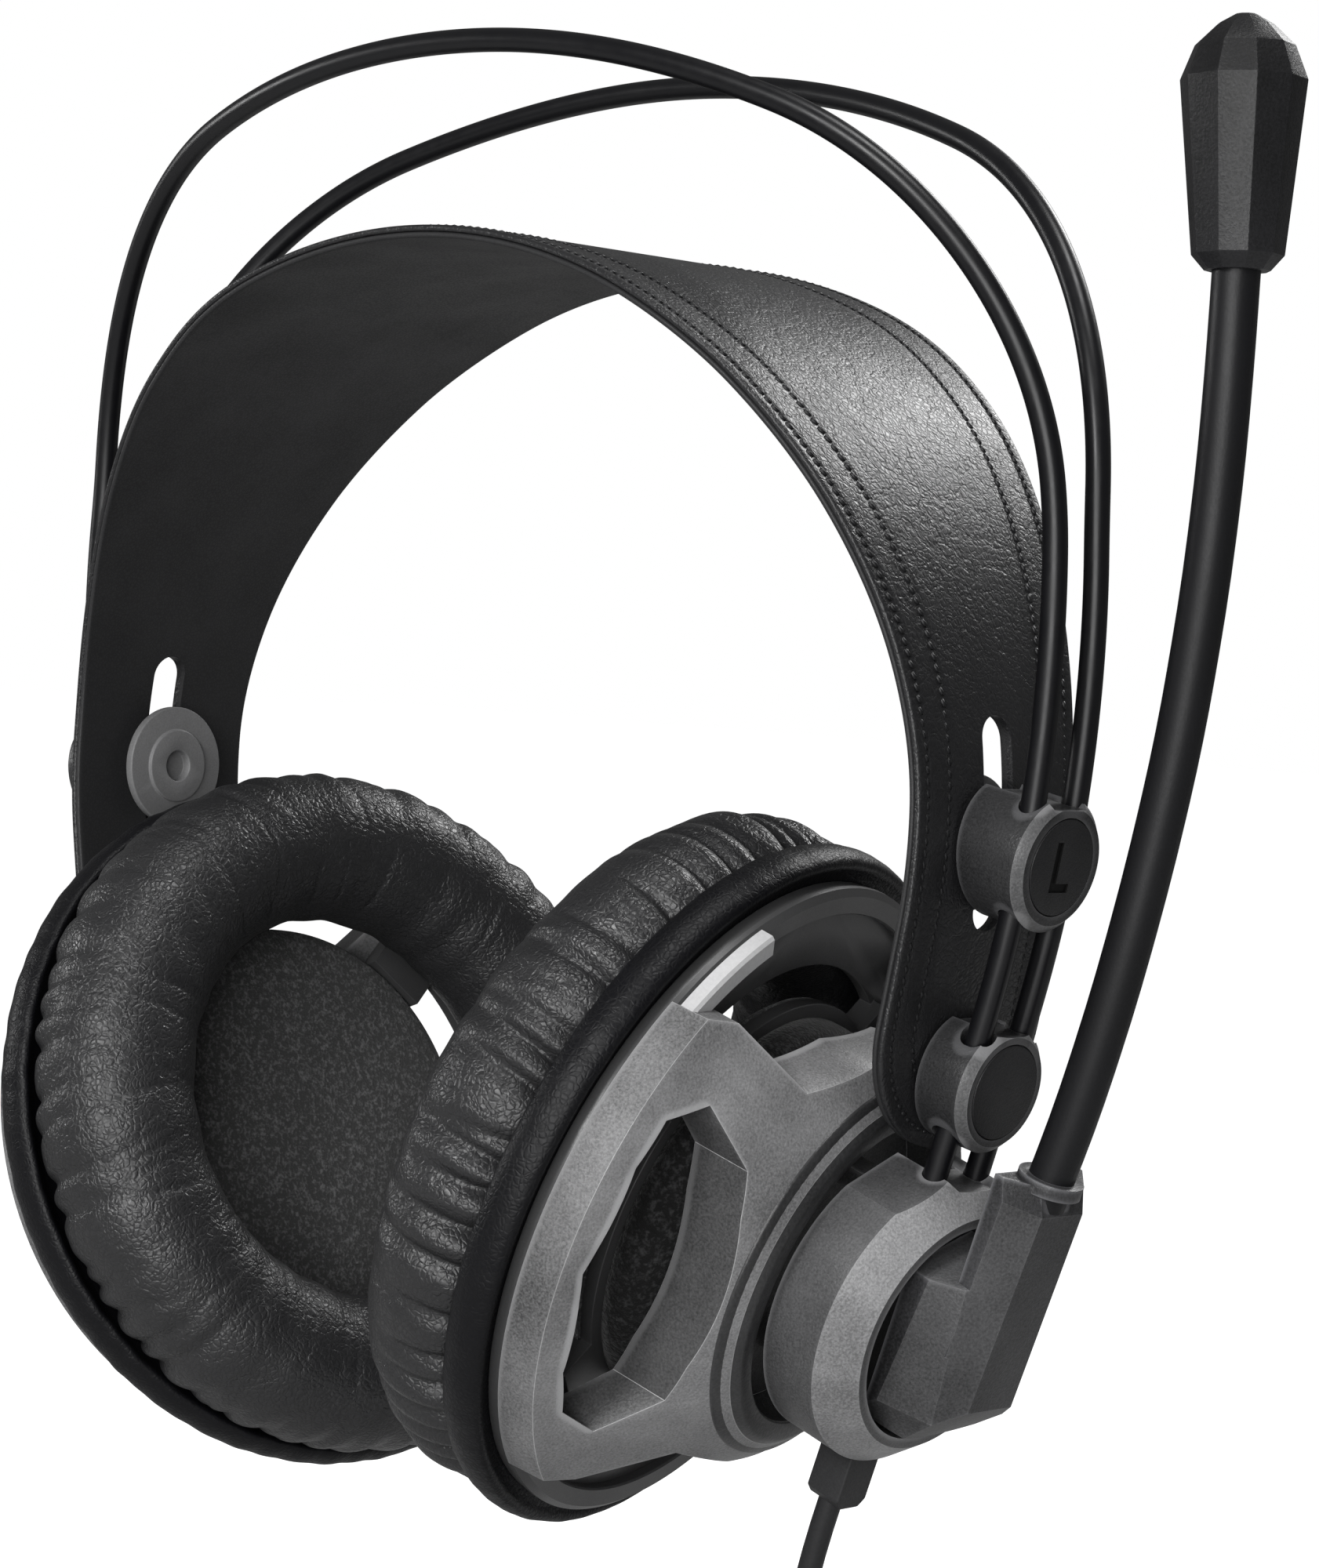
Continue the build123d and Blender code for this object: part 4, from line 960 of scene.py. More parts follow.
# ---------------------------------------------------------------- cable
@dataclass
class Cable:
    """The cable from the left hub to its tied hank and its plug."""

    diameter: float = 3.1 * MM
    centre: tuple[float, float, float] = (33.0, 0.0, -218.0)
    turn_radius: float = 17.0
    spacing: float = 3.2
    tie_width: float = 9.0
    tie_inner: float = 6.85
    tie_thick: float = 0.75
    tie_sweep: float = 425.0
    tie_stations: int = 90
    tie_overlap: int = 66
    points_per_turn: int = 14

    def build(self) -> None:
        """Make the cable, its tie and its plug."""
        start = (57.54, 0.0, -155.55)
        lead = [start, (54.9, 0.0, -163.6), (52.5, 0.5, -174.5), (51.2, 0.6, -186.0), (51.2, 0.3, -197.5)]
        tail = [(54.6, 0.1, -227.0), (52.6, 0.2, -239.0), (50.9, 0.3, -251.0)]
        route = lead + self.hank_points() + tail
        data = bpy.data.curves.new("cable", "CURVE")
        data.dimensions = "3D"
        spline = data.splines.new("NURBS")
        spline.points.add(len(route) - 1)
        for point, (x, y, z) in zip(spline.points, route):
            point.co = (x * MM, y * MM, z * MM, 1)
        spline.order_u = 3
        spline.use_endpoint_u = True
        spline.resolution_u = 4
        data.bevel_depth = self.diameter / 2
        data.bevel_resolution = 4
        data.use_fill_caps = True
        data.materials.append(CABLE.material())
        cable = bpy.data.objects.new("cable", data)
        bpy.context.scene.collection.objects.link(cable)
        hand_over(cable, "frame", "cable", "cable_lead", "cable_hank", "cable_tail")
        pieces = [self.tie(), *self.plug()]

    def hank_points(self) -> list[tuple[float, float, float]]:
        """Control points of the hank's turns, inner turns first.

        Returns:
            Points in millimetres.
        """
        unit = self.spacing / 2
        lanes = [(1.155 * unit, 90.0), (1.155 * unit, 210.0), (1.155 * unit, 330.0)]
        lanes += [(3.236 * unit, angle) for angle in range(36, 360, 36)]
        lanes.append((3.236 * unit, 360.0))
        flat = [
            (off * math.cos(math.radians(side)), off * math.sin(math.radians(side))) for off, side in lanes
        ]
        first = -40.0
        points = []
        steps = self.points_per_turn
        for turn, ((a0, b0), (a1, b1)) in enumerate(zip(flat, flat[1:])):
            for step in range(steps):
                share = step / steps
                blend = min(1.0, max(0.0, (share - 0.55) / 0.35))
                blend = blend * blend * (3 - 2 * blend)
                radial, across = a0 + (a1 - a0) * blend, b0 + (b1 - b0) * blend
                angle = math.radians(first - 360.0 * (turn + share))
                reach = self.turn_radius + radial
                x = self.centre[0] + reach * math.cos(angle)
                z = self.centre[2] + reach * math.sin(angle)
                points.append((x, self.centre[1] + across, z))
        reach = self.turn_radius + lanes[-1][0]
        for degrees in (10, 350):
            angle = math.radians(degrees)
            x = self.centre[0] + reach * math.cos(angle)
            z = self.centre[2] + reach * math.sin(angle)
            points.append((x, 0.0, z))
        return points

    def tie(self) -> bpy.types.Object:
        """Hook-and-loop band round the hank, with its overlapping end."""
        middle = np.array([self.centre[0] - self.turn_radius, 0.0, self.centre[2]])
        thick, half = self.tie_thick, self.tie_width / 2
        angles = np.radians(np.linspace(0, self.tie_sweep, self.tie_stations))
        rows = []
        for count, angle in enumerate(angles):
            lift = thick * 1.05 * min(1.0, max(0.0, (count - self.tie_overlap) / 10))
            direction = np.array([math.cos(angle), math.sin(angle), 0.0])
            near, far = self.tie_inner + lift, self.tie_inner + lift + thick
            inward = [(near, -half), (far - 0.15, -half), (far, -half + 0.2)]
            section = inward + [(radius, -height) for radius, height in reversed(inward)]
            rows.append([
                middle + direction * radius + np.array([0, 0, height]) for radius, height in section
            ])
        piece = close_ends(surface("cable_band", np.array(rows) * MM, RUBBER, False, True))
        return hand_over(piece, "frame", "plug", "cable_tie")

    def plug(self) -> list[bpy.types.Object]:
        """Plug's grip and pin.

        Returns:
            The pieces.
        """
        grip = dress_copy("plug_body", RUBBER, 0.4 * MM)
        pin = dress_copy("plug_pin", GOLD, 0.1 * MM)
        return [grip, pin]


# ---------------------------------------------------------------- headband
@dataclass
class Hoops:
    """The two sprung wires over the head."""

    rise: float = 25.9
    arcs: tuple[tuple[float, float], ...] = ((146.0, 20.1), (54.5, 63.8), (169.0, 23.1))
    crown_spread: float = 22.5
    leg_spread: float = 4.2
    spread_length: float = 120.0
    radius: float = 1.55
    end_height: float = -121.7
    stations: int = 200
    sides: int = 28

    def spread(self, length: float) -> float:
        """Half the distance between the wires at an arc length from the crown."""
        share = min(1.0, length / self.spread_length) ** 1.35
        return self.leg_spread + (self.crown_spread - self.leg_spread) * (1 + math.cos(math.pi * share)) / 2

    def point(self, length: float) -> tuple[float, float]:
        """Centre of a wire, sideways and up, at an arc length from the crown."""
        x, z, heading = 0.0, self.rise, 0.0
        for radius, sweep in self.arcs:
            turn = min(length / radius, math.radians(sweep))
            x += radius * (math.sin(heading + turn) - math.sin(heading))
            z += radius * (math.cos(heading + turn) - math.cos(heading))
            heading += turn
            length -= radius * turn
        return x + length * math.cos(heading), z - length * math.sin(heading)

    def full_length(self) -> float:
        """Arc length from the crown to the end of a wire in its socket."""
        bent = sum(radius * math.radians(sweep) for radius, sweep in self.arcs)
        lean = math.sin(math.radians(sum(sweep for _, sweep in self.arcs)))
        return bent + (self.point(bent)[1] - self.end_height) / lean

    def build(self) -> None:
        """Draw each wire as one smooth tube with closed ends."""
        lengths = np.linspace(-self.full_length(), self.full_length(), 2 * self.stations + 1)
        angles = np.linspace(0, 2 * math.pi, self.sides, endpoint=False)
        for face, side in (("front", -1.0), ("rear", 1.0)):
            centres = []
            for length in lengths:
                x, z = self.point(abs(length))
                centres.append((math.copysign(x, length), side * self.spread(abs(length)), z))
            path = np.array(centres)
            along = np.gradient(path, axis=0)
            along /= np.linalg.norm(along, axis=1)[:, None]
            across = np.array((0.0, 1.0, 0.0)) - along[:, 1:2] * along
            across /= np.linalg.norm(across, axis=1)[:, None]
            upward = np.cross(along, across)
            ring = across[:, None] * np.cos(angles)[:, None] + upward[:, None] * np.sin(angles)[:, None]
            tube = path[:, None] + self.radius * ring
            ends = [np.repeat(path[end][None, None], self.sides, axis=1) for end in (0, -1)]
            rows = np.concatenate([ends[0], tube, ends[1]]) * MM
            piece = surface(f"sprung_wire_{face}", rows, WIRE, False, True)
            hand_over(piece, BODY_OF[f"hoop_{face}"], "wire", f"hoop_{face}")


@dataclass
class Strap:
    """Leather strap with its lining, sewn edges and slots."""

    crown_radius: float = 87.2
    crown_sweep: float = 20.0
    side_radius: float = 69.2
    side_sweep: float = 80.0
    lining: float = 0.8
    total: float = 1.7
    crown_half: float = 28.5
    tongue_half: float = 15.5
    shoulder_z: float = -6.0
    tongue_z: float = -68.0
    end_z: float = -109.6
    slot_half: float = 2.9
    slot_low: float = -10.6
    slot_high: float = 15.8
    seam_edge: float = 1.9
    seam_crown: float = 8.6
    seam_tongue: float = 6.0
    cut_reach: tuple[float, float] = (-5.0, 6.0)
    rivet_hole: float = 2.6
    stitch_size: tuple[float, float, float] = (1.45, 0.74, 0.62)
    stitch_slant: float = 26.0
    stitch_pitch: float = 1.42
    stitch_sunk: float = 0.10
    stitch_sunk_low: float = 0.26

    def arch(self, length: float) -> tuple[float, float, float]:
        """Point and heading of the underside.

        Args:
            length: Arc length from the crown in millimetres, to the wearer's left.

        Returns:
            x, z and heading in radians.
        """
        sign = -1.0 if length < 0 else 1.0
        left = abs(length)
        x, z, heading = 0.0, 0.0, 0.0
        for radius, sweep in ((self.crown_radius, self.crown_sweep), (self.side_radius, self.side_sweep)):
            part = min(math.radians(sweep), left / radius)
            x += radius * (math.sin(heading + part) - math.sin(heading))
            z -= radius * (math.cos(heading) - math.cos(heading + part))
            heading += part
            left -= part * radius
        x += left * math.cos(heading)
        z -= left * math.sin(heading)
        return sign * x, z, sign * heading

    def half_width(self, z: float, inset: float = 0.0) -> float:
        """Half the strap's width at a height.

        Args:
            z: Height in millimetres.
            inset: Distance in from the edge.

        Returns:
            Half width in millimetres.
        """
        wide, narrow = self.crown_half, self.tongue_half
        drop = self.shoulder_z - self.tongue_z
        heights = [self.tongue_z, self.shoulder_z - 0.72 * drop, self.shoulder_z - 0.43 * drop,
                   self.shoulder_z - 0.19 * drop, self.shoulder_z]
        widths = [narrow, wide - 0.87 * (wide - narrow), wide - 0.55 * (wide - narrow),
                  wide - 0.21 * (wide - narrow), wide]
        end_centre = self.end_z + narrow
        if z < end_centre:
            reach = (narrow - inset) ** 2 - (z - end_centre) ** 2
            return math.sqrt(reach) if reach > 0 else 0.0
        slopes = np.gradient(widths, heights)
        slopes[0] = slopes[-1] = 0.0
        if z <= heights[0]:
            return narrow - inset
        if z >= heights[-1]:
            return wide - inset
        place = int(np.searchsorted(heights, z)) - 1
        step = heights[place + 1] - heights[place]
        share = (z - heights[place]) / step
        cube, square = share**3, share**2
        width = (2 * cube - 3 * square + 1) * widths[place]
        width += (cube - 2 * square + share) * step * slopes[place]
        width += (3 * square - 2 * cube) * widths[place + 1] + (cube - square) * step * slopes[place + 1]
        return width - inset

    def seam_inset(self, z: float) -> float:
        """Distance of the inner seam from the edge at a height."""
        share = min(1.0, max(0.0, (z - self.tongue_z) / (self.shoulder_z - self.tongue_z)))
        return self.seam_tongue + (self.seam_crown - self.seam_tongue) * share

    def place(self, length: float, across: float, offset: float) -> list[float]:
        """Point on the strap.

        Args:
            length: Arc length from the crown in millimetres.
            across: Distance rearwards from the middle.
            offset: Height above the underside.

        Returns:
            Coordinates in metres.
        """
        x, z, heading = self.arch(length)
        return [(x + offset * math.sin(heading)) * MM, across * MM, (z + offset * math.cos(heading)) * MM]

    def lengths(self) -> np.ndarray:
        """Arc lengths of the strap's cross sections, closer together at the round ends."""
        low, high = 0.0, 300.0
        for _ in range(50):
            middle = (low + high) / 2
            low, high = (middle, high) if self.arch(middle)[1] > self.end_z else (low, middle)
        tip = low
        body = np.arange(0.0, tip - self.tongue_half, 1.3)
        end = tip - self.tongue_half * (1 - np.sin(np.linspace(0, math.pi / 2, 18)))
        half = np.concatenate([body, end[1:] if end[0] - body[-1] < 0.6 else end])
        half[-1] = tip - 0.001
        return np.concatenate([-half[:0:-1], half])

    def layer(self, name: str, low: float, high: float, finish: Finish, sewn: bool) -> bpy.types.Object:
        """One layer of the strap as a closed band with rolled edges.

        Args:
            name: The piece's name.
            low: Height of its underside.
            high: Height of its top.
            finish: Its finish.
            sewn: Whether its top has the seams' channels.

        Returns:
            The piece.
        """
        thick = high - low
        roll = [(0.0, 0.5), (0.06, 0.22), (0.2, 0.08), (0.45, 0.0)]
        inner = [0.9, 1.3, 1.6, 1.9, 2.2, 2.5, 3.0, 4.0, 5.2, 5.7, 6.0, 6.3, 6.8, 7.6, 8.3, 8.6, 8.9, 9.5]
        rows = []
        for length in self.lengths():
            _, z, _ = self.arch(length)
            half = max(self.half_width(z), 0.02)
            share_centre = np.linspace(1.0, 0.0, 12)[1:]
            insets = [inset for inset, _ in roll] + inner
            last = insets[-1]
            if half < last + 3:
                insets = [min(inset, half * (0.02 + 0.9 * inset / last)) for inset in insets]
            insets += [insets[-1] + (half - insets[-1]) * (1 - share) for share in share_centre]
            top, bottom = [], []
            for count, inset in enumerate(insets):
                ease = roll[count][1] if count < len(roll) else 0.0
                channel = self.channel(z, half - inset) if sewn else 0.0
                top.append((half - inset, high - ease * thick - channel))
                bottom.append((half - inset, low + ease * thick))
            ring = [(-w, o) for w, o in top] + [(w, o) for w, o in top[-2::-1]]
            ring += [(w, o) for w, o in bottom[1:]] + [(-w, o) for w, o in bottom[-2:0:-1]]
            rows.append([self.place(length, w, o) for w, o in ring])
        return close_ends(surface(name, np.array(rows), finish, False, True), weld=0.02 * MM)

    def channel(self, z: float, across: float) -> float:
        """Depth of the pressed channels of the seams at a point.

        Args:
            z: Height in millimetres.
            across: Distance from the middle.

        Returns:
            Depth in millimetres.
        """
        end_centre = self.end_z + self.tongue_half
        if z < end_centre:
            inset = self.tongue_half - math.hypot(across, z - end_centre)
        else:
            inset = self.half_width(z) - across
        near = math.exp(-(((inset - self.seam_edge) / 0.42) ** 2))
        far = math.exp(-(((inset - self.seam_inset(z)) / 0.42) ** 2))
        return 0.16 * max(near, far)

    def cut(self, piece: bpy.types.Object) -> None:
        """Cut the slots and the rivet holes.

        Args:
            piece: The layer that is cut.
        """
        for side in Side:
            for kind in ("axle", "rivet"):
                tool = self.cutter(side, kind)
                hole = piece.modifiers.new("hole", "BOOLEAN")
                hole.operation = "DIFFERENCE"
                hole.solver = "EXACT"
                hole.object = tool
                settle(piece)
                bpy.data.objects.remove(tool)
        keep = piece.data.materials[0]
        piece.data.materials.clear()
        piece.data.materials.append(keep)
        piece.data.polygons.foreach_set("material_index", [0] * len(piece.data.polygons))
        piece.data.set_sharp_from_angle(angle=math.radians(40))

    def cutter(self, side: Side, kind: str) -> bpy.types.Object:
        """Tool for one slot or rivet hole.

        Args:
            side: The side it is on.
            kind: "axle" for the slot, "rivet" for the hole.

        Returns:
            The tool.
        """
        node = "strap_axle" if kind == "axle" else "strap_rivet"
        low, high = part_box(f"{node}_{side.word}")
        middle = Vector([(a + b) / 2 for a, b in zip(low, high)])
        length = 0.0
        for trial in np.linspace(60, 175, 2300):
            if self.arch(trial)[1] * MM <= middle.z:
                length = trial
                break
        heading = self.arch(length)[2]
        down = Vector((side.value * math.cos(heading), 0, -math.sin(heading)))
        normal = Vector((side.value * math.sin(heading), 0, math.cos(heading)))
        x, z, _ = self.arch(length)
        base = Vector((side.value * x, 0, z)) * MM
        if kind == "axle":
            half = self.slot_half
            top, bottom = half - self.slot_high, -self.slot_low - half
        else:
            half, top, bottom = self.rivet_hole, 0.0, 0.0
        outline = []
        for count in range(33):
            angle = math.pi * count / 32
            outline.append((bottom + half * math.sin(angle), half * math.cos(angle)))
        for count in range(33):
            angle = math.pi * count / 32
            outline.append((top - half * math.sin(angle), -half * math.cos(angle)))
        if kind == "rivet":
            turns = [2 * math.pi * k / 40 for k in range(40)]
            outline = [(half * math.cos(turn), half * math.sin(turn)) for turn in turns]
        points = [
            base + (down * u + Vector((0, v, 0)) + normal * lift) * MM
            for lift in self.cut_reach for u, v in outline
        ]
        count = len(outline)
        faces = [tuple(range(count)), tuple(range(2 * count - 1, count - 1, -1))]
        faces += [(k, k + count, (k + 1) % count + count, (k + 1) % count) for k in range(count)]
        mesh = bpy.data.meshes.new("cutter")
        mesh.from_pydata([tuple(point) for point in points], [], faces)
        tool = bmesh.new()
        tool.from_mesh(mesh)
        bmesh.ops.remove_doubles(tool, verts=tool.verts, dist=1e-6)
        bmesh.ops.recalc_face_normals(tool, faces=tool.faces)
        tool.to_mesh(mesh)
        tool.free()
        cutter = bpy.data.objects.new("cutter", mesh)
        bpy.context.scene.collection.objects.link(cutter)
        return cutter

    def seam_paths(self) -> list[np.ndarray]:
        """Lines that the stitches follow, with the leather's outward direction.

        Returns:
            One array per row of stitches.
        """
        paths = []
        for inset in (self.seam_edge, None):
            for hand in (-1, 1):
                path = []
                for length in self.lengths():
                    _, z, heading = self.arch(length)
                    distance = self.seam_inset(z) if inset is None else inset
                    half = self.half_width(z, distance)
                    if z < self.end_z + distance + 0.2 or half <= 0.01:
                        continue
                    sunk = self.stitch_sunk if z > self.tongue_z + 12.0 else self.stitch_sunk_low
                    point = self.place(length, hand * half, self.total - sunk)
                    path.append(point + [math.sin(heading), 0.0, math.cos(heading)])
                paths.append(np.array(path))
        return paths

    def build(self) -> None:
        """Make both layers and the stitches."""
        leather = self.layer("strap_hide", self.lining, self.total, STRAP_HIDE, True)
        lining = self.layer("strap_underside", 0.0, self.lining, STRAP_LINING, False)
        for piece in (leather, lining):
            self.cut(piece)
        hand_over(leather, "headband", "strap_leather", "strap_leather")
        hand_over(lining, "headband", "strap_lining", "strap_lining")
        length, width, height = (size * MM for size in self.stitch_size)
        unit = stitch_unit(length, width, height, self.stitch_slant)
        stitches = repeat_along("strap_stitches", self.seam_paths(), unit, self.stitch_pitch * MM, THREAD)
        hand_over(stitches, "headband", "strap_leather")


@dataclass
class Blocks:
    """Knobs that clamp the wires and carry the strap."""

    side: Side
    tilt: float = 10.5
    mark_scale: float = 1.15

    def build(self) -> None:
        """Dress both knobs, their caps, the axle, washer and rivet."""
        for level in ("upper", "lower"):
            # Knob with a painted highlight on its eased edges and painted light on the faces that slope
            # towards its outer side.
            block = dress_copy(f"{level}_block_{self.side.word}", KNOB, 0.28 * MM, 24.0, KNOB_EDGE_HIGHLIGHT)
            tilt = math.radians(self.tilt)
            tone_slopes(block, Vector((self.side.value * math.cos(tilt), 0.0, -math.sin(tilt))), KNOB_RIM_LIGHT)
            cap = dress_copy(f"{level}_cap_{self.side.word}", KNOB_FACE, 0.15 * MM)
            if level == "upper":
                self.sink_mark(cap)
        dress_copy(f"strap_washer_{self.side.word}", WASHER, 0.2 * MM)
        paint(f"strap_axle_{self.side.word}", DARK_STEEL)
        paint(f"strap_rivet_{self.side.word}", STEEL)

    def sink_mark(self, cap: bpy.types.Object) -> None:
        """Sink the side's letter into a knob's face.

        Args:
            cap: The knob's cap, which faces outwards and a little down.
        """
        low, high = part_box(f"upper_cap_{self.side.word}")
        middle = [(a + b) / 2 for a, b in zip(low, high)]
        tilt = math.radians(self.tilt)
        sign = self.side.value
        outward = Vector((sign * math.cos(tilt), 0.0, -math.sin(tilt)))
        upward = Vector((sign * math.sin(tilt), 0.0, math.cos(tilt)))
        across = Vector((0.0, sign, 0.0))
        strokes = [[(-1.5, -2.7), (-0.5, -2.7), (-0.5, 2.7), (-1.5, 2.7)]]
        if self.side is Side.LEFT:
            strokes.append([(-1.5, -2.7), (1.7, -2.7), (1.7, -1.75), (-1.5, -1.75)])
        else:
            strokes.append([(-1.5, 1.8), (1.1, 1.8), (1.1, 2.7), (-1.5, 2.7)])
            strokes.append([(-1.5, -0.3), (1.1, -0.3), (1.1, 0.6), (-1.5, 0.6)])
            strokes.append([(0.9, 0.0), (1.8, 0.4), (1.8, 2.0), (0.9, 2.6)])
            strokes.append([(0.6, -2.7), (1.8, -2.7), (0.7, 0.0), (-0.4, 0.0)])
        for stroke in strokes:
            tool = bmesh.new()
            rings = []
            for lift in (0.08, 3.0):
                rings.append([
                    tool.verts.new(Vector(middle) + (across * u + upward * v + outward * lift) * MM)
                    for u, v in ((a * self.mark_scale, b * self.mark_scale) for a, b in stroke)
                ])
            tool.faces.new(rings[0])
            tool.faces.new(rings[1])
            for count in range(4):
                after = (count + 1) % 4
                tool.faces.new((rings[0][count], rings[0][after], rings[1][after], rings[1][count]))
            bmesh.ops.recalc_face_normals(tool, faces=tool.faces)
            mesh = bpy.data.meshes.new("stroke")
            tool.to_mesh(mesh)
            tool.free()
            mesh.materials.append(MARK.material())
            cutter = bpy.data.objects.new("stroke", mesh)
            bpy.context.scene.collection.objects.link(cutter)
            hole = cap.modifiers.new("mark", "BOOLEAN")
            hole.operation = "DIFFERENCE"
            hole.solver = "EXACT"
            hole.material_mode = "TRANSFER"
            hole.object = cutter
            settle(cap)
            bpy.data.objects.remove(cutter)


# ---------------------------------------------------------------- hubs and microphone
@dataclass
class Hub:
    """Hub, its neck and gimbal on one side."""

    side: Side
    tilt: float = 18.0

    def build(self) -> None:
        """Dress the hub."""
        # Hub with a painted highlight on its eased edges and painted light on the faces that slope towards
        # its axis.
        piece = dress_copy(f"hub_{self.side.word}", HUB, 0.3 * MM, 24.0, HUB_EDGE_HIGHLIGHT)
        tilt = math.radians(self.tilt)
        tone_slopes(piece, Vector((self.side.value * math.cos(tilt), 0.0, -math.sin(tilt))), HUB_RIM_LIGHT)
        paint(f"gimbal_neck_{self.side.word}", INNER)
        paint(f"gimbal_ring_{self.side.word}", INNER)
        if self.side is Side.RIGHT:
            dress_copy("hub_cap_right", HUB, 0.4 * MM)


@dataclass
class Microphone:
    """Turning arm, boom and capsule."""

    tilt: float = 18.0
    collar_height: float = 22.6 * MM

    def build(self) -> None:
        """Dress every piece of the microphone."""
        # Arm with a painted highlight on its eased edges; below the collar, faces that slope to the front or
        # rear get painted light, and faces above the collar keep the plain finish.
        arm = dress_copy("mic_arm", ARM, 0.32 * MM, 12.0, ARM_EDGE_HIGHLIGHT)
        tilt = math.radians(self.tilt)
        pivot, upward = Vector((PIVOT_X, 0.0, PIVOT_Z)), Vector((math.sin(tilt), 0.0, math.cos(tilt)))
        arm.data.materials.append(ARM_SLOPE_LIGHT.material())
        for face in arm.data.polygons:
            if face.material_index == 0 and 0.35 < abs(face.normal.y) < 0.9:
                face.material_index = 2
            if (face.center - pivot).dot(upward) > self.collar_height:
                face.material_index = 0
        dress_copy("mic_pivot", INNER, 0.2 * MM)
        paint("mic_clip", STEEL)
        paint("mic_boom", BOOM)
        dress_copy("mic_capsule", CAPSULE, 0.3 * MM, 15.0)
        paint("mic_grille", INNER)


# ---------------------------------------------------------------- ear cups
@dataclass
class EarCup:
    """Shell, baffle, driver housing, foam and cushion of one side."""

    side: Side
    tilt: float
    turn: float
    pivot_x: float = 61.7
    pivot_z: float = -128.2
    ring_radius: float = 36.8
    tube_radius: float = 10.3
    front: float = 47.3
    pleats: int = 52
    # Span and section of the pale strip with the painted reflection on the upper ledge.
    plate_span: tuple[float, float] = (113.0, 134.0)
    plate_section: tuple = (
        (40.75, 21.9), (40.75, 20.5), (41.0, 20.25), (43.3, 20.25), (43.75, 20.6), (43.8, 22.3),
    )
    ledge_half_span: float = 45.5
    ledge_section: tuple = (
        (40.6, 23.38), (40.6, 22.2), (40.8, 21.95), (43.1, 21.95), (43.95, 22.7), (44.0, 23.38),
    )
    trim_section: tuple = (
        (26.1, 4.95), (25.95, 4.62), (25.2, 4.25), (24.4, 3.8), (23.8, 3.2), (23.3, 2.75), (22.9, 2.62),
        (20.9, 2.62), (20.62, 2.8), (20.62, 3.4), (23.0, 3.5), (24.2, 4.4), (26.0, 5.4),
    )
    side_radius: float = 43.2
    window_radius: float = 42.6
    well_radius: float = 20.7
    well_depth: float = 4.0
    wall_depth: float = 24.0
    upright_lean: float = 0.35
    sideways_share: float = 0.70
    gather: float = 1.0
    seed: int = 7

    def frame_axes(self) -> tuple[np.ndarray, np.ndarray, np.ndarray, np.ndarray]:
        """Pivot and axes of the cup.

        Returns:
            Origin in millimetres, local X, local Y (up) and the outward axis.
        """
        sign = self.side.value
        tilt, turn = math.radians(self.tilt), math.radians(self.turn)
        facing = np.array([
            sign * math.cos(tilt) * math.cos(turn), math.sin(turn), -math.sin(tilt) * math.cos(turn)
        ])
        ring_up = np.array([sign * math.sin(tilt), 0.0, math.cos(tilt)])
        rear = np.cross(ring_up, facing)
        rear /= np.linalg.norm(rear)
        up = np.cross(facing, rear)
        return np.array([sign * self.pivot_x, 0.0, self.pivot_z]), rear, up, facing

    def spin(self, radii: np.ndarray, depths: np.ndarray, angles: np.ndarray) -> np.ndarray:
        """Turn radius and depth values about the cup's axis.

        Args:
            radii: Distances from the axis in millimetres.
            depths: Depths inwards from the pivot.
            angles: Angles from local X in radians.

        Returns:
            Points in metres, in the shape of the three arrays together.
        """
        origin, rear, up, facing = self.frame_axes()
        spoke = np.cos(angles)[..., None] * rear + np.sin(angles)[..., None] * up
        points = origin + radii[..., None] * spoke
        return (points - depths[..., None] * facing) * MM

    def build(self) -> None:
        """Make the soft pieces and dress the rest."""
        word = self.side.word
        self.make_shell()
        dress_copy(f"baffle_{word}", RING, 0.3 * MM)
        self.make_ledges()
        paint(f"cup_screws_{word}", STEEL)
        paint(f"driver_{word}", INNER)
        paint(f"driver_magnet_{word}", STEEL)
        self.make_housing()
        self.make_foam()
        self.make_lip()
        self.make_pad()

    def make_shell(self) -> None:
        """Shell with a painted highlight on its eased edges, painted shade on its outer side wall and on the
        walls in its openings, and a dark trim round its collar.
        """
        word = self.side.word
        piece = eased(f"cup_shell_{word}", SHELL, 0.45 * MM, 20.0, SHELL_EDGE_HIGHLIGHT)
        piece.data.materials.append(SHELL_WALL_SHADE.material())
        piece.data.materials.append(SHELL_SIDE_SHADE.material())
        origin, rear, _, facing = self.frame_axes()
        axis = Vector(facing)
        for face in piece.data.polygons:
            spot = face.center - Vector(origin) * MM
            depth = -spot.dot(axis) / MM
            radius = (spot + axis * (depth * MM)).length / MM
            upright = abs(face.normal.dot(axis)) < self.upright_lean
            sideways = abs(spot.dot(Vector(rear))) / MM > self.sideways_share * radius
            # Painted shade on the upright outer side wall.
            if face.material_index == 0 and upright and radius > self.side_radius:
                face.material_index = 3
            in_window = upright and sideways and radius < self.window_radius
            in_well = radius < self.well_radius and depth > self.well_depth
            # Painted shade on the walls in the openings, in the well and deep inside.
            if face.material_index == 0 and (depth > self.wall_depth or in_window or in_well):
                face.material_index = 2
        hand_over(piece, f"cup_{word}", "shell", f"cup_shell_{word}")
        angles = np.linspace(0, 2 * math.pi, 180, endpoint=False)
        radii, depths = revolved(self.trim_section, angles)
        trim = surface(f"collar_trim_{word}", self.spin(radii, depths, angles), TRIM, True, True)
        hand_over(trim, f"cup_{word}", "shell")

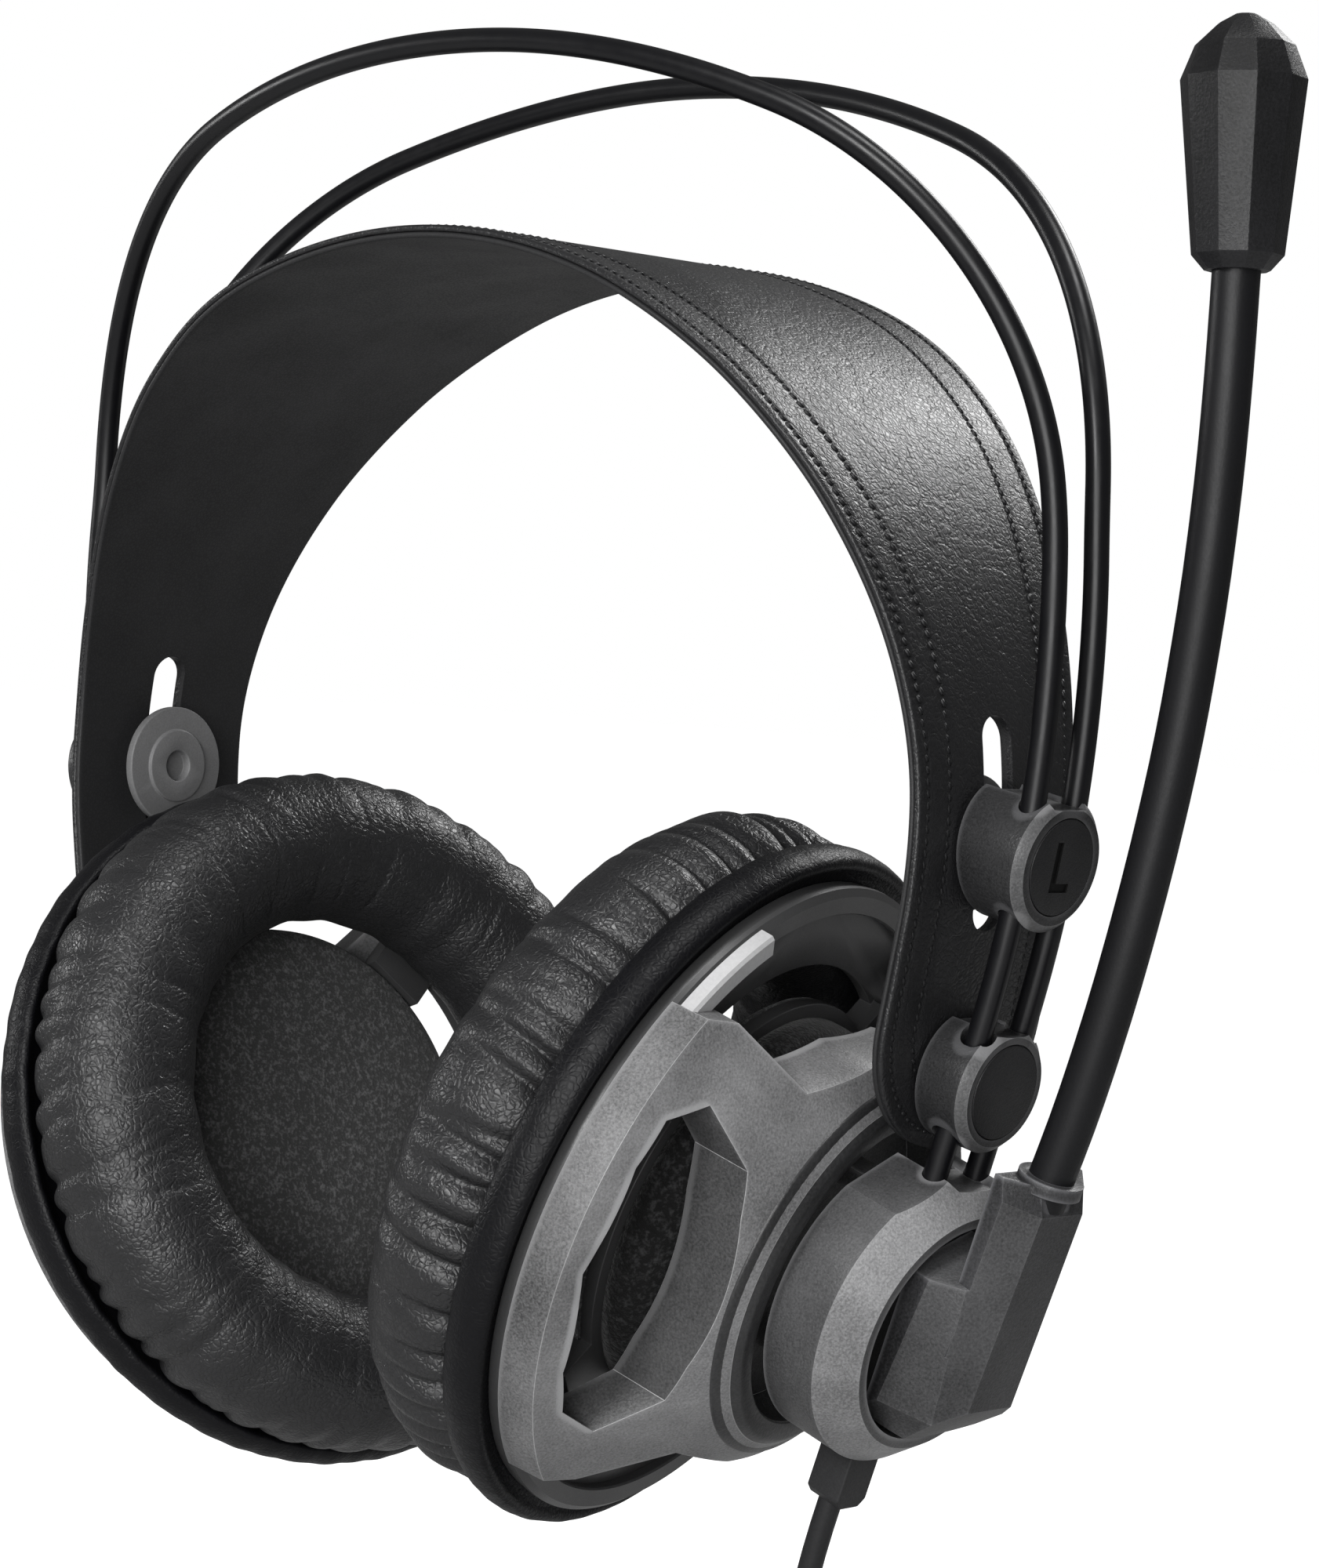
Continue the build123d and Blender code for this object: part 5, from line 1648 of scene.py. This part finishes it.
    def arc_piece(
        self, name: str, section: tuple, span: tuple[float, float], steps: int, finish: Finish
    ) -> None:
        """Sweep a section along part of the cup's rim.

        Args:
            name: The piece's name.
            section: Pairs of radius and depth.
            span: Angles where it starts and ends, in degrees.
            steps: Stations along it.
            finish: Its finish.
        """
        angles = np.radians(np.linspace(*span, steps))
        radii, depths = revolved(section, angles)
        points = np.transpose(self.spin(radii, depths, angles), (1, 0, 2))
        piece = close_ends(surface(name, points, finish, False, True), sharp=30.0)
        hand_over(piece, f"cup_{self.side.word}", "shell")

    def make_ledges(self) -> None:
        """Low ledges of the rim that show in the openings, and a pale strip on the upper one with a painted
        reflection of a lamp.
        """
        word = self.side.word
        for name, middle in (("top", 90.0), ("bottom", 270.0)):
            span = (middle - self.ledge_half_span, middle + self.ledge_half_span)
            self.arc_piece(f"rim_ledge_{name}_{word}", self.ledge_section, span, 90, RING)
        # Pale strip with a painted reflection of a lamp on the upper ledge.
        self.arc_piece(f"clip_plate_{word}", self.plate_section, self.plate_span, 40, REFLECTION_STRIP)

    def make_housing(self) -> None:
        """Felt-covered housing over the driver."""
        angles = np.linspace(0, 2 * math.pi, 120, endpoint=False)
        profile = [(0.02, 12.3), (6, 12.32), (12, 12.5), (17, 12.8), (20, 13.6), (23, 15.0), (25.4, 16.6),
                   (26.5, 18.4), (26.6, 20.0), (26.6, 21.5), (25.0, 21.5), (25.0, 18.0), (18.4, 14.4),
                   (0.02, 14.2)]
        radii, depths = revolved(profile, angles)
        wobble = 0.12 * np.sin(5 * angles + 1.0) + 0.08 * np.sin(11 * angles)
        depths[1:8] += wobble * 0.5
        piece = surface(f"housing_felt_{self.side.word}", self.spin(radii, depths, angles), FELT, False, True)
        hand_over(piece, f"cup_{self.side.word}", "driver", f"driver_housing_{self.side.word}")

    def make_foam(self) -> None:
        """Low dome of foam over the driver plate."""
        angles = np.linspace(0, 2 * math.pi, 144, endpoint=False)
        profile = [(0.02, 23.42), (27.9, 23.42), (28.15, 23.7), (28.15, 24.1), (27.6, 24.6), (26.0, 24.9),
                   (22, 25.15), (16, 25.4), (9, 25.55), (0.02, 25.6)]
        radii, depths = revolved(profile, angles)
        piece = surface(f"foam_dome_{self.side.word}", self.spin(radii, depths, angles), FOAM, False, True)
        hand_over(piece, f"cup_{self.side.word}", "foam", f"driver_foam_{self.side.word}")

    def make_lip(self) -> None:
        """Stretched lip of the cushion's cover, rolled over the baffle's edge."""
        angles = np.linspace(0, 2 * math.pi, 360, endpoint=False)
        section = [(33.0, 25.3), (40.0, 25.3), (44.9, 25.3), (45.4, 24.6), (46.3, 24.2), (47.1, 24.9),
                   (47.55, 26.3), (47.6, 27.8), (47.2, 29.2), (46.7, 30.0), (46.1, 30.3), (45.3, 29.5),
                   (44.2, 28.3), (40.0, 27.8), (33.0, 27.35)]
        loose = np.array([0, 0, 0, 0.5, 1, 1, 1, 1, 1, 1, 1, 0.5, 0, 0, 0])
        rng = np.random.default_rng(self.seed + 3)
        ripple = np.zeros_like(angles)
        for wave in range(20, 90, 7):
            ripple += rng.normal() * 0.02 * np.sin(wave * angles + rng.uniform(0, 6.28))
        radii, depths = revolved(section, angles)
        points = self.spin(radii + ripple * loose[:, None], depths, angles)
        piece = surface(f"pad_lip_hide_{self.side.word}", points, LIP_HIDE, True, True)
        smooth = piece.modifiers.new("smooth", "SUBSURF")
        smooth.levels = smooth.render_levels = 1
        settle(piece)
        hand_over(piece, f"cup_{self.side.word}", "lip", f"pad_lip_{self.side.word}")

    def make_pad(self) -> None:
        """Gathered cushion: a crowned ring with pleats that start at the seam."""
        rng = np.random.default_rng(self.seed)
        count, around = 900, 72
        angles = np.linspace(0, 2 * math.pi, count, endpoint=False)
        steps = np.linspace(0, 1, around, endpoint=False)
        middle = self.front - self.tube_radius
        outer_start = 27.6
        radii0, depths0 = [], []
        for step in steps:
            radius, depth = self.section(step, middle, outer_start)
            radii0.append(radius)
            depths0.append(depth)
        radii0, depths0 = np.array(radii0), np.array(depths0)
        gaps = rng.uniform(0.65, 1.45, self.pleats)
        seams = np.cumsum(gaps) / gaps.sum() * 2 * math.pi
        strength = rng.uniform(0.5, 1.0, self.pleats) * self.gather
        reach = rng.uniform(0.26, 0.44, self.pleats)
        lean = rng.normal(0, 0.03, self.pleats)
        radial, axial = self.normals(radii0, depths0)
        theta = angles[None, :] + np.zeros((around, 1))
        share = steps[:, None]
        lift = np.zeros((around, count))
        for place, depth, length, slant in zip(seams, strength, reach, lean):
            gap = (theta - place - slant * share * 4 + math.pi) % (2 * math.pi) - math.pi
            gap_mm = gap * 44.0
            fade = np.clip(1 - share / length, 0, 1) ** 0.9
            valley = np.exp(-((np.abs(gap_mm) / (1.0 + 1.1 * share)) ** 1.7))
            crease = np.exp(-np.abs(gap_mm + 0.35) / 0.35)
            lift -= depth * fade * (2.1 * valley + 0.45 * crease)
            lift += depth * 0.45 * fade * np.exp(-(((gap_mm - 2.5) / 1.2) ** 2))
        for wave in range(3, 40, 4):
            height = rng.normal() * 0.22 / math.sqrt(wave)
            lift += height * np.sin(wave * theta + 3 * share + rng.uniform(0, 6.28))
        for _ in range(110):
            place, high = rng.uniform(0, 2 * math.pi), rng.uniform(0.05, 0.6)
            gap = ((theta - place + math.pi) % (2 * math.pi) - math.pi) * 40
            bend = gap + 14 * (share - high) * rng.normal()
            lift -= rng.uniform(0.06, 0.22) * np.exp(-((bend / 0.6) ** 2) - ((share - high) / 0.09) ** 2)
        radii = radii0[:, None] + radial[:, None] * lift
        depths = depths0[:, None] + axial[:, None] * lift
        piece = surface(f"cushion_{self.side.word}", self.spin(radii, depths, theta), PAD_HIDE, True, True)
        hand_over(piece, f"cup_{self.side.word}", "pad", f"ear_pad_{self.side.word}")

    def section(self, step: float, middle: float, start: float) -> tuple[float, float]:
        """Point of the cushion's cross section, from the outer seam over the crown to the inner seam.

        Args:
            step: From 0 at the outer seam to 1, back at it.
            middle: Depth of the section's centre.
            start: Depth of the seams.

        Returns:
            Radius and depth in millimetres.
        """
        tube = self.tube_radius
        if step < 0.88:
            angle = math.radians(62 - 304 * step / 0.88)
            full = 0.87 if math.cos(angle) > 0 and math.sin(angle) > 0 else 1.0
            radius = self.ring_radius + tube * math.copysign(abs(math.cos(angle)) ** full, math.cos(angle))
            depth = middle - tube * math.copysign(abs(math.sin(angle)) ** full, math.sin(angle))
            return radius, max(depth, start) if depth < start else depth
        share = (step - 0.88) / 0.12
        first = self.ring_radius + tube * math.cos(math.radians(62 - 304))
        last = self.ring_radius + tube * math.cos(math.radians(62))
        return first + (last - first) * share, start

    def normals(self, radii: np.ndarray, depths: np.ndarray) -> tuple[np.ndarray, np.ndarray]:
        """Outward directions of a closed cross section.

        Args:
            radii: Its radii.
            depths: Its depths.

        Returns:
            Radial and axial parts.
        """
        along_r = np.roll(radii, -1) - np.roll(radii, 1)
        along_d = np.roll(depths, -1) - np.roll(depths, 1)
        length = np.hypot(along_r, along_d)
        length[length == 0] = 1
        radial, axial = along_d / length, -along_r / length
        outward = radial * (radii - self.ring_radius) + axial * (depths - depths.mean())
        if outward.sum() < 0:
            radial, axial = -radial, -axial
        return radial, axial


def main() -> None:
    """Build the headset."""
    logging.basicConfig(level=logging.INFO, format="%(name)s: %(message)s")
    Studio().build()
    Cable().build()
    dress_copy("strain_relief", RUBBER, 0.3 * MM)
    Hoops().build()
    Strap().build()
    for side in Side:
        Blocks(side).build()
        Hub(side).build()
    Microphone().build()
    EarCup(Side.LEFT, 20.6, 10.0, seed=7).build()
    EarCup(Side.RIGHT, 19.3, 8.6, seed=19, gather=0.6).build()


if __name__ == "__main__":
    main()
